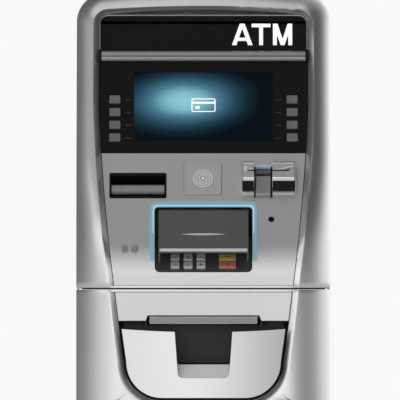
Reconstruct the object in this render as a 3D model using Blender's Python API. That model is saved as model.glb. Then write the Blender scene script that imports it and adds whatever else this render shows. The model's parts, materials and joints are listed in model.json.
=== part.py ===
"""Free-standing retail cash machine (ATM), modelled as an assembly for Blender 4.5.

Run with: blender --background --python part.py

World frame: +Z up, the front faces -Y, origin at the middle of the base on the floor.
All sizes below are in millimetres; they become metres where a mesh is made.
The upper front is an inclined fascia that swings on a vertical pin at the left.
The lower front is the safe's door, with its covers, on a second pin at the left.
"""

import math

import bmesh
import bpy
from mathutils import Matrix, Vector

MM = 0.001
GAP = 0.4

# Driving dimensions
HALF_WIDTH = 200.0
HEIGHT = 1400.0
BACK_Y = 290.0
SEAM_Z = 925.0
SEAM_HALF = 1.5
SKIN = 3.0

# Front outline seen from the front
TOP_SAG = 9.0
OUTLINE_CORNER = 45.0
BEZEL_BOTTOM_Z = 722.0

# Inclined face: the inside panel is straight down to FACE_Z, then bends to vertical
TILT = math.radians(27.3)
FACE_Z = 1000.0
PANEL_BEND = 120.0
PANEL_Y = -256.0
RIM_BEND = 207.0
RIM_Y = -260.5
ROLL_TOP = 36.0
ROLL_BOTTOM = 70.0

# Shield-shaped opening in the front shells
SHIELD_TOP_Z = 1362.0
SHIELD_TOP_SAG = 5.0
SHIELD_HALF = 165.0
SHIELD_CORNER = 15.0
SHIELD_STRAIGHT_Z = 1222.0
SHIELD_TAPER = 0.004787
SHIELD_TAPER_POWER = 1.5
SHIELD_BOTTOM_Z = 750.0
SHIELD_BOTTOM_CORNER = 60.0
SHIELD_BOTTOM_HALF = 65.0
CHAMFER = 8.0
SHIELD_LIP = 5.0

# Parting planes and hinge pins
FASCIA_BACK_Y = 10.0
CABINET_FRONT_Y = 14.0
DOOR_BACK_Y = -150.0
SAFE_FRONT_Y = -146.0
PIN_X = -185.0
PIN_RADIUS = 4.0
FASCIA_PIN_Y = FASCIA_BACK_Y - 16.0
DOOR_PIN_Y = DOOR_BACK_Y - 16.0

# Sign, brow and display on the inclined face
SIGN_Z = (1301.0, 1356.0)
SIGN_CORNER = 15.0
BROW_Z = (1281.5, 1300.0)
DISPLAY_Z = (1138.5, 1280.5)
WINDOW_HALF = 109.5
WINDOW_Z = (1157.5, 1266.5)
LETTERS_X = (45.0, 140.0)
LETTERS_Z = (1308.5, 1342.0)
FUNCTION_KEY_X = 139.6
FUNCTION_KEY_Z = (1222.0, 1202.0, 1182.0, 1162.0)
FUNCTION_KEY_SIZE = (17.4, 14.0)
FUNCTION_KEY_PROUD = 2.2
FUNCTION_KEY_TRAVEL = 1.5

# Control panel
RECEIPT_X = (-148.0, -58.0)
RECEIPT_Z = (1067.0, 1107.0)
READER_X = (59.0, 146.0)
READER_Z = (1067.0, 1119.0)
CARD_SLOT_Z = 1100.5
CONTACTLESS_X = (-31.0, 29.0)
CONTACTLESS_Z = (1072.0, 1122.5)
PAD_HALF = 76.5
PAD_Z = (951.0, 1056.0)
LIGHT_FOOT_V = -33.0
JACK_AT = (106.5, 1034.0)
SPEAKER_AT = ((-123.5, 987.5), (-108.0, 987.5))
SPEAKER_RADIUS = 7.0

# PIN pad: plate tilted back PAD_TILT from vertical
PAD_TILT = math.radians(51.0)
PAD_ORIGIN = (0.0, -249.0, 953.0)
PAD_LENGTH = 86.0
KEY_ROWS = (12.0, 31.0, 50.0, 69.0)
KEY_COLUMNS = ((-44.7, 14.0), (-24.3, 14.0), (-3.9, 14.0), (37.8, 27.0))
KEY_DEPTH = 13.0
KEY_PROUD = 4.0
KEY_TRAVEL = 2.0

# Cash exit and tray
EXIT_HALF = 92.5
EXIT_Z = (874.5, 883.0)
TRAY_TOP_Z = 862.0
TRAY_TOP_SAG = 5.0
TRAY_EDGE_Y = -262.0
TRAY_BULGE = 22.0
TRAY_GAP = 4.0
NOTCH_HALF = (44.0, 40.5)
NOTCH_Z = 785.0
NOTE_SLOT_Z = (874.0, 886.0)

# Safe
SAFE_HALF = 200.0
SAFE_WALL = 5.0
SAFE_TOP_Z = 921.0
DIAL_AT = (95.0, 610.0)
HANDLE_AT = (95.0, 500.0)
BOLT_HEIGHTS = (160.0, 460.0, 760.0)
BOLT_THROW = 16.0

MATERIALS = {
    "silver_paint": ((0.55, 0.55, 0.56), 0.35, 0.7),
    "panel_paint": ((0.52, 0.52, 0.53), 0.4, 0.6),
    "black_gloss": ((0.012, 0.012, 0.013), 0.2, 0.0),
    "black_plastic": ((0.02, 0.02, 0.021), 0.5, 0.0),
    "grey_plastic": ((0.18, 0.18, 0.18), 0.45, 0.0),
    "key_metal": ((0.5, 0.5, 0.5), 0.35, 0.8),
    "key_green": ((0.08, 0.3, 0.06), 0.4, 0.0),
    "key_yellow": ((0.62, 0.45, 0.04), 0.4, 0.0),
    "key_red": ((0.6, 0.06, 0.04), 0.4, 0.0),
    "white_sign": ((0.9, 0.9, 0.9), 0.3, 0.0),
    "screen": ((0.02, 0.12, 0.2), 0.1, 0.0),
    "blue_light": ((0.2, 0.5, 0.7), 0.3, 0.0),
    "safe_steel": ((0.16, 0.16, 0.17), 0.5, 0.6),
    "bare_steel": ((0.6, 0.6, 0.6), 0.3, 1.0),
    "paper": ((0.85, 0.85, 0.83), 0.8, 0.0),
    "module_grey": ((0.35, 0.36, 0.36), 0.5, 0.2),
}


# ---------------------------------------------------------------- helpers


def material(name):
    """The named finish as a Principled material, made once."""
    found = bpy.data.materials.get(name)
    if found:
        return found
    colour, roughness, metallic = MATERIALS[name]
    made = bpy.data.materials.new(name)
    made.use_nodes = True
    shader = made.node_tree.nodes["Principled BSDF"]
    shader.inputs["Base Color"].default_value = (*colour, 1)
    shader.inputs["Roughness"].default_value = roughness
    shader.inputs["Metallic"].default_value = metallic
    return made


def mesh_object(name, points, faces, finish=None, frame=None, at=None):
    """An object from points in millimetres; frame is a parent empty, at its place in it."""
    place = Vector(at or (0, 0, 0))
    mesh = bpy.data.meshes.new(name)
    mesh.from_pydata([(Vector(p) - place) * MM for p in points], [], faces)
    work = bmesh.new()
    work.from_mesh(mesh)
    bmesh.ops.remove_doubles(work, verts=work.verts, dist=0.00001)
    bmesh.ops.recalc_face_normals(work, faces=work.faces)
    work.to_mesh(mesh)
    work.free()
    mesh.shade_smooth()
    mesh.set_sharp_from_angle(angle=math.radians(30))
    made = bpy.data.objects.new(name, mesh)
    bpy.context.scene.collection.objects.link(made)
    made.location = place * MM
    if frame:
        made.parent = frame
    if finish:
        mesh.materials.append(material(finish))
    return made


def tilted_frame(name, origin, tilt):
    """An empty whose XZ plane leans back by tilt, with -Y pointing out of the plane."""
    empty = bpy.data.objects.new(name, None)
    bpy.context.scene.collection.objects.link(empty)
    empty.matrix_world = Matrix.Translation(Vector(origin) * MM) @ Matrix.Rotation(-tilt, 4, "X")
    return empty


def prism(name, outline, axis, start, end, finish=None, frame=None, at=None):
    """A straight extrusion of a 2D outline along axis: X takes (y, z), Y (x, z), Z (x, y)."""
    def point(flat, along):
        if axis == "X":
            return (along, flat[0], flat[1])
        if axis == "Y":
            return (flat[0], along, flat[1])
        return (flat[0], flat[1], along)

    count = len(outline)
    points = [point(p, start) for p in outline] + [point(p, end) for p in outline]
    faces = [tuple(range(count)), tuple(range(2 * count - 1, count - 1, -1))]
    faces += [(i, (i + 1) % count, (i + 1) % count + count, i + count) for i in range(count)]
    return mesh_object(name, points, faces, finish, frame, at)


def box(name, low, high, finish=None, frame=None, at=None):
    """A box between two corners."""
    outline = rectangle(low[0], high[0], low[2], high[2])
    return prism(name, outline, "Y", low[1], high[1], finish, frame, at)


def rectangle(x0, x1, z0, z1):
    return [(x0, z0), (x1, z0), (x1, z1), (x0, z1)]


def arc(centre, radius, start, end, steps):
    """Points on an arc, angles in degrees, both ends included."""
    angles = [math.radians(start + (end - start) * i / steps) for i in range(steps + 1)]
    return [(centre[0] + radius * math.cos(a), centre[1] + radius * math.sin(a)) for a in angles]


def rounded_rectangle(x0, x1, z0, z1, radius, steps=3):
    corners = [
        ((x1 - radius, z1 - radius), 0),
        ((x0 + radius, z1 - radius), 90),
        ((x0 + radius, z0 + radius), 180),
        ((x1 - radius, z0 + radius), 270),
    ]
    points = []
    for centre, start in corners:
        points += arc(centre, radius, start, start + 90, steps)
    return points


def cylinder(name, centre, axis, radius, start, end, finish=None, frame=None, steps=24, at=None):
    """A round bar along axis from start to end; centre is in the plane across it."""
    outline = arc(centre, radius, 0, 360 - 360 / steps, steps - 1)
    return prism(name, outline, axis, start, end, finish, frame, at)


def combine(target, other, operation):
    """A Boolean modifier on target; the other shape becomes a hidden helper."""
    other.hide_render = True
    other.display_type = "WIRE"
    modifier = target.modifiers.new(other.name, "BOOLEAN")
    modifier.operation = operation
    modifier.object = other
    return target


def cut(target, *others):
    for other in others:
        combine(target, other, "DIFFERENCE")
    return target


def add(target, *others):
    for other in others:
        combine(target, other, "UNION")
    return target


# ---------------------------------------------------------------- surface rules


def bent_y(z, base_y, bend):
    """Depth of a profile: vertical, then an arc of radius bend, then straight at TILT."""
    bend_height = bend * math.sin(TILT)
    start = (FACE_Z if bend == PANEL_BEND else SEAM_Z + 20 + bend_height) - bend_height
    rise = z - start
    if rise <= 0:
        return base_y
    if rise < bend_height:
        return base_y + bend - math.sqrt(bend * bend - rise * rise)
    return base_y + bend * (1 - math.cos(TILT)) + (rise - bend_height) * math.tan(TILT)


def panel_y(z):
    return bent_y(z, PANEL_Y, PANEL_BEND)


def rim_y(z):
    return bent_y(z, RIM_Y, RIM_BEND)


def roll_radius(z):
    """Edge rounding of the front: small at the top, large from the seam down."""
    share = min(1.0, max(0.0, (1140.0 - z) / 190.0))
    return ROLL_TOP + (ROLL_BOTTOM - ROLL_TOP) * share * share * (3 - 2 * share)


def roll_off(inset, radius):
    if inset >= radius:
        return 0.0
    return radius - math.sqrt(max(0.0, radius**2 - (radius - inset) ** 2))


def shield_half(z):
    """Half width of the shield-shaped opening at a height on its sides."""
    drop = max(0.0, SHIELD_STRAIGHT_Z - z)
    return SHIELD_HALF - SHIELD_TAPER * drop**SHIELD_TAPER_POWER


def face_v(z):
    """Distance up the inclined face for a height, measured from FACE_Z."""
    return (z - FACE_Z) / math.cos(TILT)


def half_rings():
    """Matching points from top centre to bottom centre: opening, and outer outline."""
    inner, outer = [], []
    corner_x = SHIELD_HALF - SHIELD_CORNER
    outline_corner_x = HALF_WIDTH - OUTLINE_CORNER
    for i in range(4):
        share = i / 4
        inner.append((corner_x * share, SHIELD_TOP_Z - SHIELD_TOP_SAG * share**2))
        outer.append((outline_corner_x * share, HEIGHT - TOP_SAG * share**2))
    inner_top = SHIELD_TOP_Z - SHIELD_TOP_SAG - SHIELD_CORNER
    outer_top = HEIGHT - TOP_SAG - OUTLINE_CORNER
    inner += arc((corner_x, inner_top), SHIELD_CORNER, 90, 0, 4)
    outer += arc((outline_corner_x, outer_top), OUTLINE_CORNER, 90, 0, 4)
    low_corner_z = SHIELD_BOTTOM_Z + SHIELD_BOTTOM_CORNER
    heights = (1290, SHIELD_STRAIGHT_Z, 1160, 1100, 1060, 1030, 1000, 972, 945, 900, 855)
    for z in heights:
        inner.append((shield_half(z), z))
        outer.append((HALF_WIDTH, z))
    low_corner = arc((SHIELD_BOTTOM_HALF, low_corner_z), SHIELD_BOTTOM_CORNER, 0, -90, 6)
    low_corner[0] = (shield_half(low_corner_z), low_corner_z)
    inner += low_corner
    for i in range(4):
        outer.append((HALF_WIDTH, low_corner_z + (BEZEL_BOTTOM_Z - low_corner_z) * i / 3))
    for i in range(1, 4):
        share = i / 3
        outer.append((HALF_WIDTH + (SHIELD_BOTTOM_HALF - HALF_WIDTH) * share, BEZEL_BOTTOM_Z))
    inner.append((0.0, SHIELD_BOTTOM_Z))
    outer.append((0.0, BEZEL_BOTTOM_Z))
    return inner, outer


def full_ring(half):
    """A closed ring from a half one, mirrored without repeating its two middle points."""
    return half + [(-x, z) for x, z in reversed(half[1:-1])]


def pushed_out(ring, distance):
    """The ring moved outwards by distance, square to its own direction."""
    count = len(ring)
    moved = []
    for i, (x, z) in enumerate(ring):
        before, after = ring[i - 1], ring[(i + 1) % count]
        along = Vector((after[0] - before[0], after[1] - before[1])).normalized()
        moved.append((x - along.y * distance, z + along.x * distance))
    return moved


def outline_inset(x, z, lowest):
    """How far inside the front outline a point lies; the bottom edge doesn't count."""
    corner_z = HEIGHT - TOP_SAG - OUTLINE_CORNER
    corner_x = HALF_WIDTH - OUTLINE_CORNER
    if abs(x) > corner_x and z > corner_z:
        return OUTLINE_CORNER - math.hypot(abs(x) - corner_x, z - corner_z)
    top = HEIGHT - TOP_SAG * (x / corner_x) ** 2 - z
    return min(HALF_WIDTH - abs(x), top if z > lowest else HALF_WIDTH)


def front_surface(name, back_y):
    """Open surface from the rear edge, round the outer edge and down the chamfer."""
    inner, outer = (full_ring(half) for half in half_rings())
    crest = pushed_out(inner, CHAMFER)
    count = len(inner)
    rings = [[(x, back_y, z) for x, z in outer]]
    shares = (0.0, 0.05, 0.17, 0.36, 0.62, 1.0)
    roll = [[] for _ in shares]
    for i in range(count):
        start, end = Vector(outer[i]), Vector(crest[i])
        span = (end - start).length
        reach = min(span, roll_radius(outer[i][1]) * 1.02)
        for ring, share in zip(roll, shares):
            flat = start.lerp(end, reach * share / span)
            if outer[i][1] <= BEZEL_BOTTOM_Z + 1 or share == 0.0:
                flat = start.lerp(end, reach * share / span)
            depth = rim_y(flat[1]) + roll_off(
                max(0.0, outline_inset(flat[0], flat[1], FACE_Z)), roll_radius(flat[1])
            )
            ring.append((flat[0], min(depth, back_y - 2.0), flat[1]))
    rings += roll
    rings.append([(x, rim_y(z) + roll_off(max(0.0, outline_inset(x, z, FACE_Z)), roll_radius(z)), z)
                  for x, z in crest])
    rings.append([(x, panel_y(z), z) for x, z in inner])
    rings.append([(x, panel_y(z) + SHIELD_LIP, z) for x, z in inner])
    points = [p for ring in rings for p in ring]
    faces = []
    for k in range(len(rings) - 1):
        for i in range(count):
            j = (i + 1) % count
            faces.append((k * count + i, k * count + j, (k + 1) * count + j, (k + 1) * count + i))
    return mesh_object(name, points, faces)


def front_shell(name, back_y, z_range, pan_z, finish):
    """The front surface given thickness and a floor or lid, then cut to a range of heights."""
    made = front_surface(name, back_y)
    made.data.materials.append(material(finish))
    if made.data.polygons[0].normal.dot(Vector((0, 0, 1))) < 0:
        made.data.flip_normals()
    skin = made.modifiers.new("skin", "SOLIDIFY")
    skin.thickness = SKIN * MM
    skin.offset = -1
    skin.use_even_offset = True
    add(made, floor_pan(name + "_pan", pan_z[0], pan_z[1], back_y - 1))
    keep = box(name + "_range", (-250, -400, z_range[0]), (250, 400, z_range[1]))
    combine(made, keep, "INTERSECT")
    return made


def floor_pan(name, z0, z1, back_y):
    """A plate that closes a front shell at a height; it laps into the shell's skin."""
    z = (z0 + z1) / 2
    inset = SKIN * 0.5
    half = HALF_WIDTH - inset
    radius = roll_radius(z)
    edge = [(half, back_y)]
    for share in (0.0, 0.05, 0.17, 0.36, 0.62, 1.0):
        x = HALF_WIDTH - radius * share
        edge.append((min(x, half), rim_y(z) + roll_off(radius * share, radius) + inset))
    outline = edge + [(-x, y) for x, y in reversed(edge)]
    return prism(name, outline, "Z", z0, z1)


# ---------------------------------------------------------------- root: cabinet and safe


def cabinet_outline(inset=0.0, bottom=SEAM_Z - 2):
    """Arched outline of the upper cabinet, (x, z)."""
    half = HALF_WIDTH - inset
    corner_x = HALF_WIDTH - OUTLINE_CORNER
    corner_z = HEIGHT - TOP_SAG - OUTLINE_CORNER
    right = [(half, bottom), (half, corner_z)]
    right += arc((corner_x, corner_z), OUTLINE_CORNER - inset, 0, 90, 5)[1:]
    right += [(corner_x * s, HEIGHT - inset - TOP_SAG * s * s) for s in (0.66, 0.33)]
    return right + [(0.0, HEIGHT - inset)] + [(-x, z) for x, z in reversed(right)]


def hinge_arm(name, pin_y, z0, z1):
    """Fixed arm that reaches round from a side wall to the pin, clear of the turning shell."""
    outline = [(-6, -6), (34, -6), (34, 34), (-14, 34), (-14, 26), (24, 26), (24, 6), (-6, 6)]
    return prism(name, [(PIN_X + x, pin_y + y) for x, y in outline], "Z", z0, z1)


def make_upper_cabinet():
    sheet = 2.5
    cabinet = prism("upper_cabinet", cabinet_outline(), "Y", CABINET_FRONT_Y, BACK_Y, "silver_paint")
    hollow = prism("cabinet_hollow", cabinet_outline(sheet, SEAM_Z - 10), "Y",
                   CABINET_FRONT_Y - 5, BACK_Y - sheet)
    cut(cabinet, hollow)
    inlet = box("inlet_opening", (-26, BACK_Y - 6, 960), (26, BACK_Y + 5, 992))
    cut(cabinet, inlet)
    for i in range(6):
        z = 1240 + 16 * i
        slot = rounded_rectangle(-90, 90, z, z + 6, 2.9, 2)
        cut(cabinet, prism(f"vent_{i}", slot, "Y", BACK_Y - 8, BACK_Y + 5))
    for i, z in enumerate((1330.0, 960.0)):
        add(cabinet, hinge_arm(f"cabinet_arm_{i}", FASCIA_PIN_Y, z, z + 8))
    add(cabinet, cylinder("fascia_pin", (PIN_X, FASCIA_PIN_Y), "Z", PIN_RADIUS, 962, 1336, steps=12))
    return cabinet


def make_safe_body():
    safe = box("safe_body", (-SAFE_HALF, SAFE_FRONT_Y, 0), (SAFE_HALF, BACK_Y, SAFE_TOP_Z), "safe_steel")
    inner = SAFE_HALF - SAFE_WALL
    cavity = box("safe_cavity", (-inner, SAFE_FRONT_Y + 4, SAFE_WALL),
                 (inner, BACK_Y - SAFE_WALL, SAFE_TOP_Z - SAFE_WALL))
    mouth = box("safe_mouth", (-inner, SAFE_FRONT_Y - 5, 25), (177, SAFE_FRONT_Y + 6, 905))
    cut(safe, cavity, mouth)
    # The door cover's rear edge swings past the frame's left corners.
    for name, z0, z1 in (("swing_relief_top", 900, SAFE_TOP_Z + 5), ("swing_relief_foot", 18, 30)):
        cut(safe, box(name, (-inner, SAFE_FRONT_Y - 5, z0), (-168, SAFE_FRONT_Y + 4, z1)))
    for i, (x, y) in enumerate(((-140, -90), (140, -90), (-140, 230), (140, 230))):
        cut(safe, cylinder(f"anchor_hole_{i}", (x, y), "Z", 8, -5, 15, steps=16))
    for i, z in enumerate((862.0, 40.0)):
        add(safe, hinge_arm(f"safe_arm_{i}", DOOR_PIN_Y, z, z + 10))
    add(safe, cylinder("door_pin", (PIN_X, DOOR_PIN_Y), "Z", PIN_RADIUS, 45, 868, steps=12))
    return safe


def make_inside_modules():
    """Controller, power inlet, note dispenser and its cassette."""
    controller = box("controller_unit", (-120, 120, SEAM_Z + 1), (130, 286, 1190), "module_grey")
    cut(controller, box("controller_inside", (-117, 123, SEAM_Z + 4), (127, 300, 1187)))
    inlet = box("power_inlet", (-25, 286.6, 961), (25, BACK_Y, 991), "black_plastic")
    recess = box("inlet_recess", (-14, 288.2, 966), (14, BACK_Y + 5, 986))
    cut(inlet, recess)
    unit = box("note_dispenser", (-140, -112, 610), (140, 230, 895), "module_grey")
    cut(unit, box("dispenser_inside", (-136, -109, 614), (136, 245, 891)))
    for side in (-1, 1):
        low, high = sorted((side * 134, side * 140))
        add(unit, box(f"dispenser_side_{side}", (low, -112, 5.5), (high, 230, 620)))
    add(unit, box("dispenser_shelf", (-136, -112, 424), (136, 230, 430)))
    exit_slot = box("dispenser_exit", (-84, -130, NOTE_SLOT_Z[0]), (84, -60, NOTE_SLOT_Z[1]))
    cut(unit, exit_slot)
    cassette = box("cash_cassette", (-110, -108, 430.5), (110, 225, 600), "grey_plastic")
    grip = box("cassette_grip", (-60, -120, 500), (60, -90, 530))
    cut(cassette, grip)


# ---------------------------------------------------------------- fascia


def make_fascia_shell():
    low = SEAM_Z + SEAM_HALF
    shell = front_shell("fascia_shell", FASCIA_BACK_Y, (low, HEIGHT + 10), (low - 4, low + SKIN),
                        "silver_paint")
    lock_hole = cylinder("lock_hole", (FASCIA_BACK_Y - 50, 1010), "X", 9.6, 150, 250, steps=20)
    cut(shell, lock_hole)
    for i, z in enumerate((1318.0, 972.0)):
        lug = box(f"fascia_lug_{i}", (-198, FASCIA_PIN_Y - 7, z), (PIN_X + 7, FASCIA_PIN_Y + 7, z + 8))
        add(shell, lug)
        cut(shell, cylinder(f"fascia_lug_bore_{i}", (PIN_X, FASCIA_PIN_Y), "Z",
                            PIN_RADIUS + GAP, z - 5, z + 15, steps=12))
    return shell


def face_plate(name, z0, z1, depth, finish, frame, side_gap=0.8, corner=0.0):
    """A flat plate on the inclined face that follows the opening's sides."""
    v0, v1 = face_v(z0), face_v(z1)
    right = [(shield_half(z0) - side_gap, v0)]
    if corner:
        x = shield_half(z1) - side_gap
        right += arc((x - corner, v1 - corner), corner, 0, 90, 4)
    else:
        right += [(shield_half(z1) - side_gap, v1)]
    outline = right + [(-x, v) for x, v in reversed(right)]
    return prism(name, outline, "Y", depth[0], depth[1], finish, frame)


def make_sign(frame):
    face = face_plate("sign_face", SIGN_Z[0], SIGN_Z[1], (0.0, 5.0), "black_gloss", frame,
                      corner=SIGN_CORNER)
    v0, v1 = face_v(LETTERS_Z[0]), face_v(LETTERS_Z[1])
    x0, x1 = LETTERS_X
    pocket = box("sign_pocket", (x0 - 2, -1, v0 - 2), (x1 + 2, 1.6, v1 + 2))
    pocket.parent = frame
    cut(face, pocket)
    letters = box("sign_letters", (x0 - 1, 0.2, v0 - 1), (x1 + 1, 1.2, v1 + 1), "white_sign", frame)
    for i, stroke in enumerate(letter_strokes(x0, x1, v0, v1)):
        part = prism(f"stroke_{i}", stroke, "Y", -2.0, 0.8, frame=frame)
        add(letters, part)


def letter_strokes(x0, x1, v0, v1):
    """Bars that spell ATM in plain block capitals, as outlines in (x, v)."""
    tall = v1 - v0
    bar = 6.0
    cell = (x1 - x0) / 3
    strokes = []
    a0, a1 = x0, x0 + cell * 1.02
    mid = (a0 + a1) / 2
    strokes.append([(a0, v0), (a0 + bar, v0), (mid + 2.4, v1), (mid - 3.4, v1)])
    strokes.append([(a1 - bar, v0), (a1, v0), (mid + 3.4, v1), (mid - 2.4, v1)])
    strokes.append(rectangle(a0 + 6, a1 - 6, v0 + tall * 0.2, v0 + tall * 0.2 + bar * 0.8))
    t0, t1 = x0 + cell * 0.98, x0 + cell * 1.92
    strokes.append(rectangle(t0, t1, v1 - bar * 0.9, v1))
    strokes.append(rectangle((t0 + t1 - bar) / 2, (t0 + t1 + bar) / 2, v0, v1 - 1))
    m0, m1 = x0 + cell * 2.04, x1
    mid = (m0 + m1) / 2
    strokes.append(rectangle(m0, m0 + bar, v0, v1))
    strokes.append(rectangle(m1 - bar, m1, v0, v1))
    strokes.append([(m0 + 0.5, v1), (mid - 3, v0), (mid + 3, v0), (m0 + bar + 1, v1)])
    strokes.append([(m1 - bar - 1, v1), (mid - 3, v0), (mid + 3, v0), (m1 - 0.5, v1)])
    return strokes


def make_brow(frame):
    """A rounded bar across the face between the sign and the display."""
    v0, v1 = face_v(BROW_Z[0]), face_v(BROW_Z[1])
    profile = [(4.0, v0), (-7.0, v0)]
    profile += arc((0.5, v0 + 7.5), 7.5, 200, 105, 5)
    profile += [(0.5, v1), (4.0, v1)]
    prism("brow_bar", profile, "X", -164.0, 164.0, "silver_paint", frame)


def make_display(frame):
    bezel = face_plate("display_bezel", DISPLAY_Z[0], DISPLAY_Z[1], (0.0, 5.0), "black_plastic", frame)
    v0, v1 = face_v(WINDOW_Z[0]), face_v(WINDOW_Z[1])
    window = box("window", (-WINDOW_HALF, -2, v0), (WINDOW_HALF, 8, v1))
    window.parent = frame
    cut(bezel, window)
    width, tall = FUNCTION_KEY_SIZE
    for side, label in ((-1, "left"), (1, "right")):
        for row, z in enumerate(FUNCTION_KEY_Z):
            x, v = side * FUNCTION_KEY_X, face_v(z)
            hole = box(f"key_hole_{label}_{row}", (x - width / 2 - GAP, -2, v - tall / 2 - GAP),
                       (x + width / 2 + GAP, 8, v + tall / 2 + GAP))
            hole.parent = frame
            cut(bezel, hole)
            outline = rounded_rectangle(x - width / 2, x + width / 2, v - tall / 2, v + tall / 2, 1.5, 2)
            prism(f"function_key_{label}_{row + 1}", outline, "Y", -FUNCTION_KEY_PROUD, 4.0,
                  "grey_plastic", frame, at=(x, 0, v))
    box("display_screen", (-WINDOW_HALF - 7, 5.5, v0 - 7), (WINDOW_HALF + 7, 24, v1 + 7),
        "screen", frame)


def make_control_panel():
    """Bent plate below the display, with an opening for each device."""
    low, high = SEAM_Z + SEAM_HALF + SKIN + 0.6, DISPLAY_Z[0] - 0.8
    bend_low = FACE_Z - PANEL_BEND * math.sin(TILT)
    heights = [low] + [bend_low + (FACE_Z - bend_low) * i / 5 for i in range(6)] + [1060, high]
    thick = 3.0
    points, faces = [], []
    for z in heights:
        half = shield_half(z) - 0.8
        y = panel_y(z)
        lean = math.atan((panel_y(z + 0.5) - panel_y(z - 0.5)))
        back = (math.cos(lean) * thick, -math.sin(lean) * thick)
        points += [(-half, y, z), (half, y, z)]
        points += [(half, y + back[0], z + back[1]), (-half, y + back[0], z + back[1])]
    for k in range(len(heights) - 1):
        a, b = 4 * k, 4 * (k + 1)
        for i in range(4):
            j = (i + 1) % 4
            faces.append((a + i, a + j, b + j, b + i))
    faces.append((3, 2, 1, 0))
    last = 4 * (len(heights) - 1)
    faces.append((last, last + 1, last + 2, last + 3))
    return mesh_object("control_panel", points, faces, "panel_paint")


def open_panel(panel, frame):
    """Cuts the control panel's openings, square to the inclined face."""
    def opening(name, xs, zs, radius):
        outline = rounded_rectangle(xs[0], xs[1], face_v(zs[0]), face_v(zs[1]), radius, 2)
        cut(panel, prism(name, outline, "Y", -20, 20, frame=frame))

    opening("receipt_opening", RECEIPT_X, RECEIPT_Z, 3)
    opening("reader_opening", (READER_X[0] + 4, READER_X[1] - 4), (READER_Z[0] + 12, READER_Z[1] - 4), 3)
    opening("contactless_opening", CONTACTLESS_X, CONTACTLESS_Z, 5)
    opening("jack_opening", (JACK_AT[0] - 5, JACK_AT[0] + 5), (JACK_AT[1] - 4.4, JACK_AT[1] + 4.4), 4.8)
    for i, (x, z) in enumerate(SPEAKER_AT):
        cut(panel, cylinder(f"speaker_opening_{i}", (x, z), "Y", SPEAKER_RADIUS, -300, -200, steps=16))
    pad = rounded_rectangle(-PAD_HALF, PAD_HALF, PAD_Z[0], PAD_Z[1], 8, 3)
    cut(panel, prism("pad_opening", pad, "Y", -300, -150))


def make_receipt_unit(frame):
    x0, x1 = RECEIPT_X[0] + GAP, RECEIPT_X[1] - GAP
    v0, v1 = face_v(RECEIPT_Z[0]) + GAP, face_v(RECEIPT_Z[1]) - GAP
    bezel = prism("receipt_bezel", rounded_rectangle(x0, x1, v0, v1, 2.6, 2), "Y", -1.0, 30.0,
                  "black_plastic", frame)
    cut(bezel, prism("receipt_mouth", [(-5, v0 + 3), (24, v0 + 22), (24, v1 - 8), (-5, v1 - 3)],
                     "X", x0 + 2.5, x1 - 2.5, frame=frame))
    cut(bezel, prism("receipt_slot", rectangle(10, 40, v0 + 26, v0 + 29.5), "X", x0 + 5, x1 - 5,
                     frame=frame))
    printer = box("receipt_printer", (-152, -132, 1052), (-54, -90, 1116), "module_grey")
    for side, x in (("outer", -152.0), ("inner", -58.0)):
        plate = box(f"printer_cheek_{side}", (x, -100, 1052), (x + 4, -10, 1116))
        add(printer, plate)
    add(printer, cylinder("roll_spindle", (-44, 1084), "X", 5, -150, -56, steps=12))
    roll = cylinder("paper_roll", (-44, 1084), "X", 34, -146.5, -59.5, "paper", steps=28,
                    at=(-103, -44, 1084))
    cut(roll, cylinder("roll_bore", (-44, 1084), "X", 6.5, -160, -40, steps=16))


def make_card_reader(frame):
    """Bezel with two lobes either side of a finger channel, and the reader behind it."""
    x0, x1 = READER_X
    v0, v1 = face_v(READER_Z[0]), face_v(READER_Z[1])
    slot_v = face_v(CARD_SLOT_Z)
    back = 0.35
    bezel = prism("card_reader_bezel", rounded_rectangle(x0, x1, v0 + 8, v1, 5, 3), "Y", -4.0, -back,
                  "silver_paint", frame)
    under = v0 + 11
    lobe = [(-back - 1, under), (-16, under + 3), (-22, under + 13), (-23, slot_v - 3),
            (-20, v1 - 9), (-13, v1 - 1.5), (-back - 1, v1 - 1)]
    for name, a, b in (("left", x0 + 0.5, x0 + 20.4), ("right", x0 + 49.3, x1 - 0.5)):
        add(bezel, prism(f"lobe_{name}", lobe, "X", a, b, frame=frame))
    channel = [(-back - 1, v0 + 0.5), (-8, v0 + 2), (-9, slot_v), (-back - 1, v1 - 3)]
    add(bezel, prism("finger_channel", channel, "X", x0 + 23, x0 + 46.5, frame=frame))
    add(bezel, prism("reader_neck", rounded_rectangle(x0 + 6, x1 - 6, v0 + 15, v1 - 6, 2, 2), "Y",
                     -2, 6, frame=frame))
    cut(bezel, box_in(frame, "card_slot", (x0 + 8, -30, slot_v - 1.3), (x1 - 10, 12, slot_v + 1.3)))
    reader = box("card_reader", (x0 + 4, 6.5, slot_v - 24), (x1 - 4, 132, slot_v + 18),
                 "module_grey", frame)
    cut(reader, box_in(frame, "reader_slot", (x0 + 12, 0, slot_v - 2), (x1 - 12, 100, slot_v + 2)))


def box_in(frame, name, low, high):
    """A helper box given in a tilted frame's own axes."""
    made = box(name, low, high)
    made.parent = frame
    return made


def make_contactless(frame):
    x0, x1 = CONTACTLESS_X[0] + GAP, CONTACTLESS_X[1] - GAP
    v0, v1 = face_v(CONTACTLESS_Z[0]) + GAP, face_v(CONTACTLESS_Z[1]) - GAP
    prism("contactless_reader", rounded_rectangle(x0, x1, v0, v1, 4.6, 3), "Y", -2.0, 14.0,
          "grey_plastic", frame)


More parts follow.
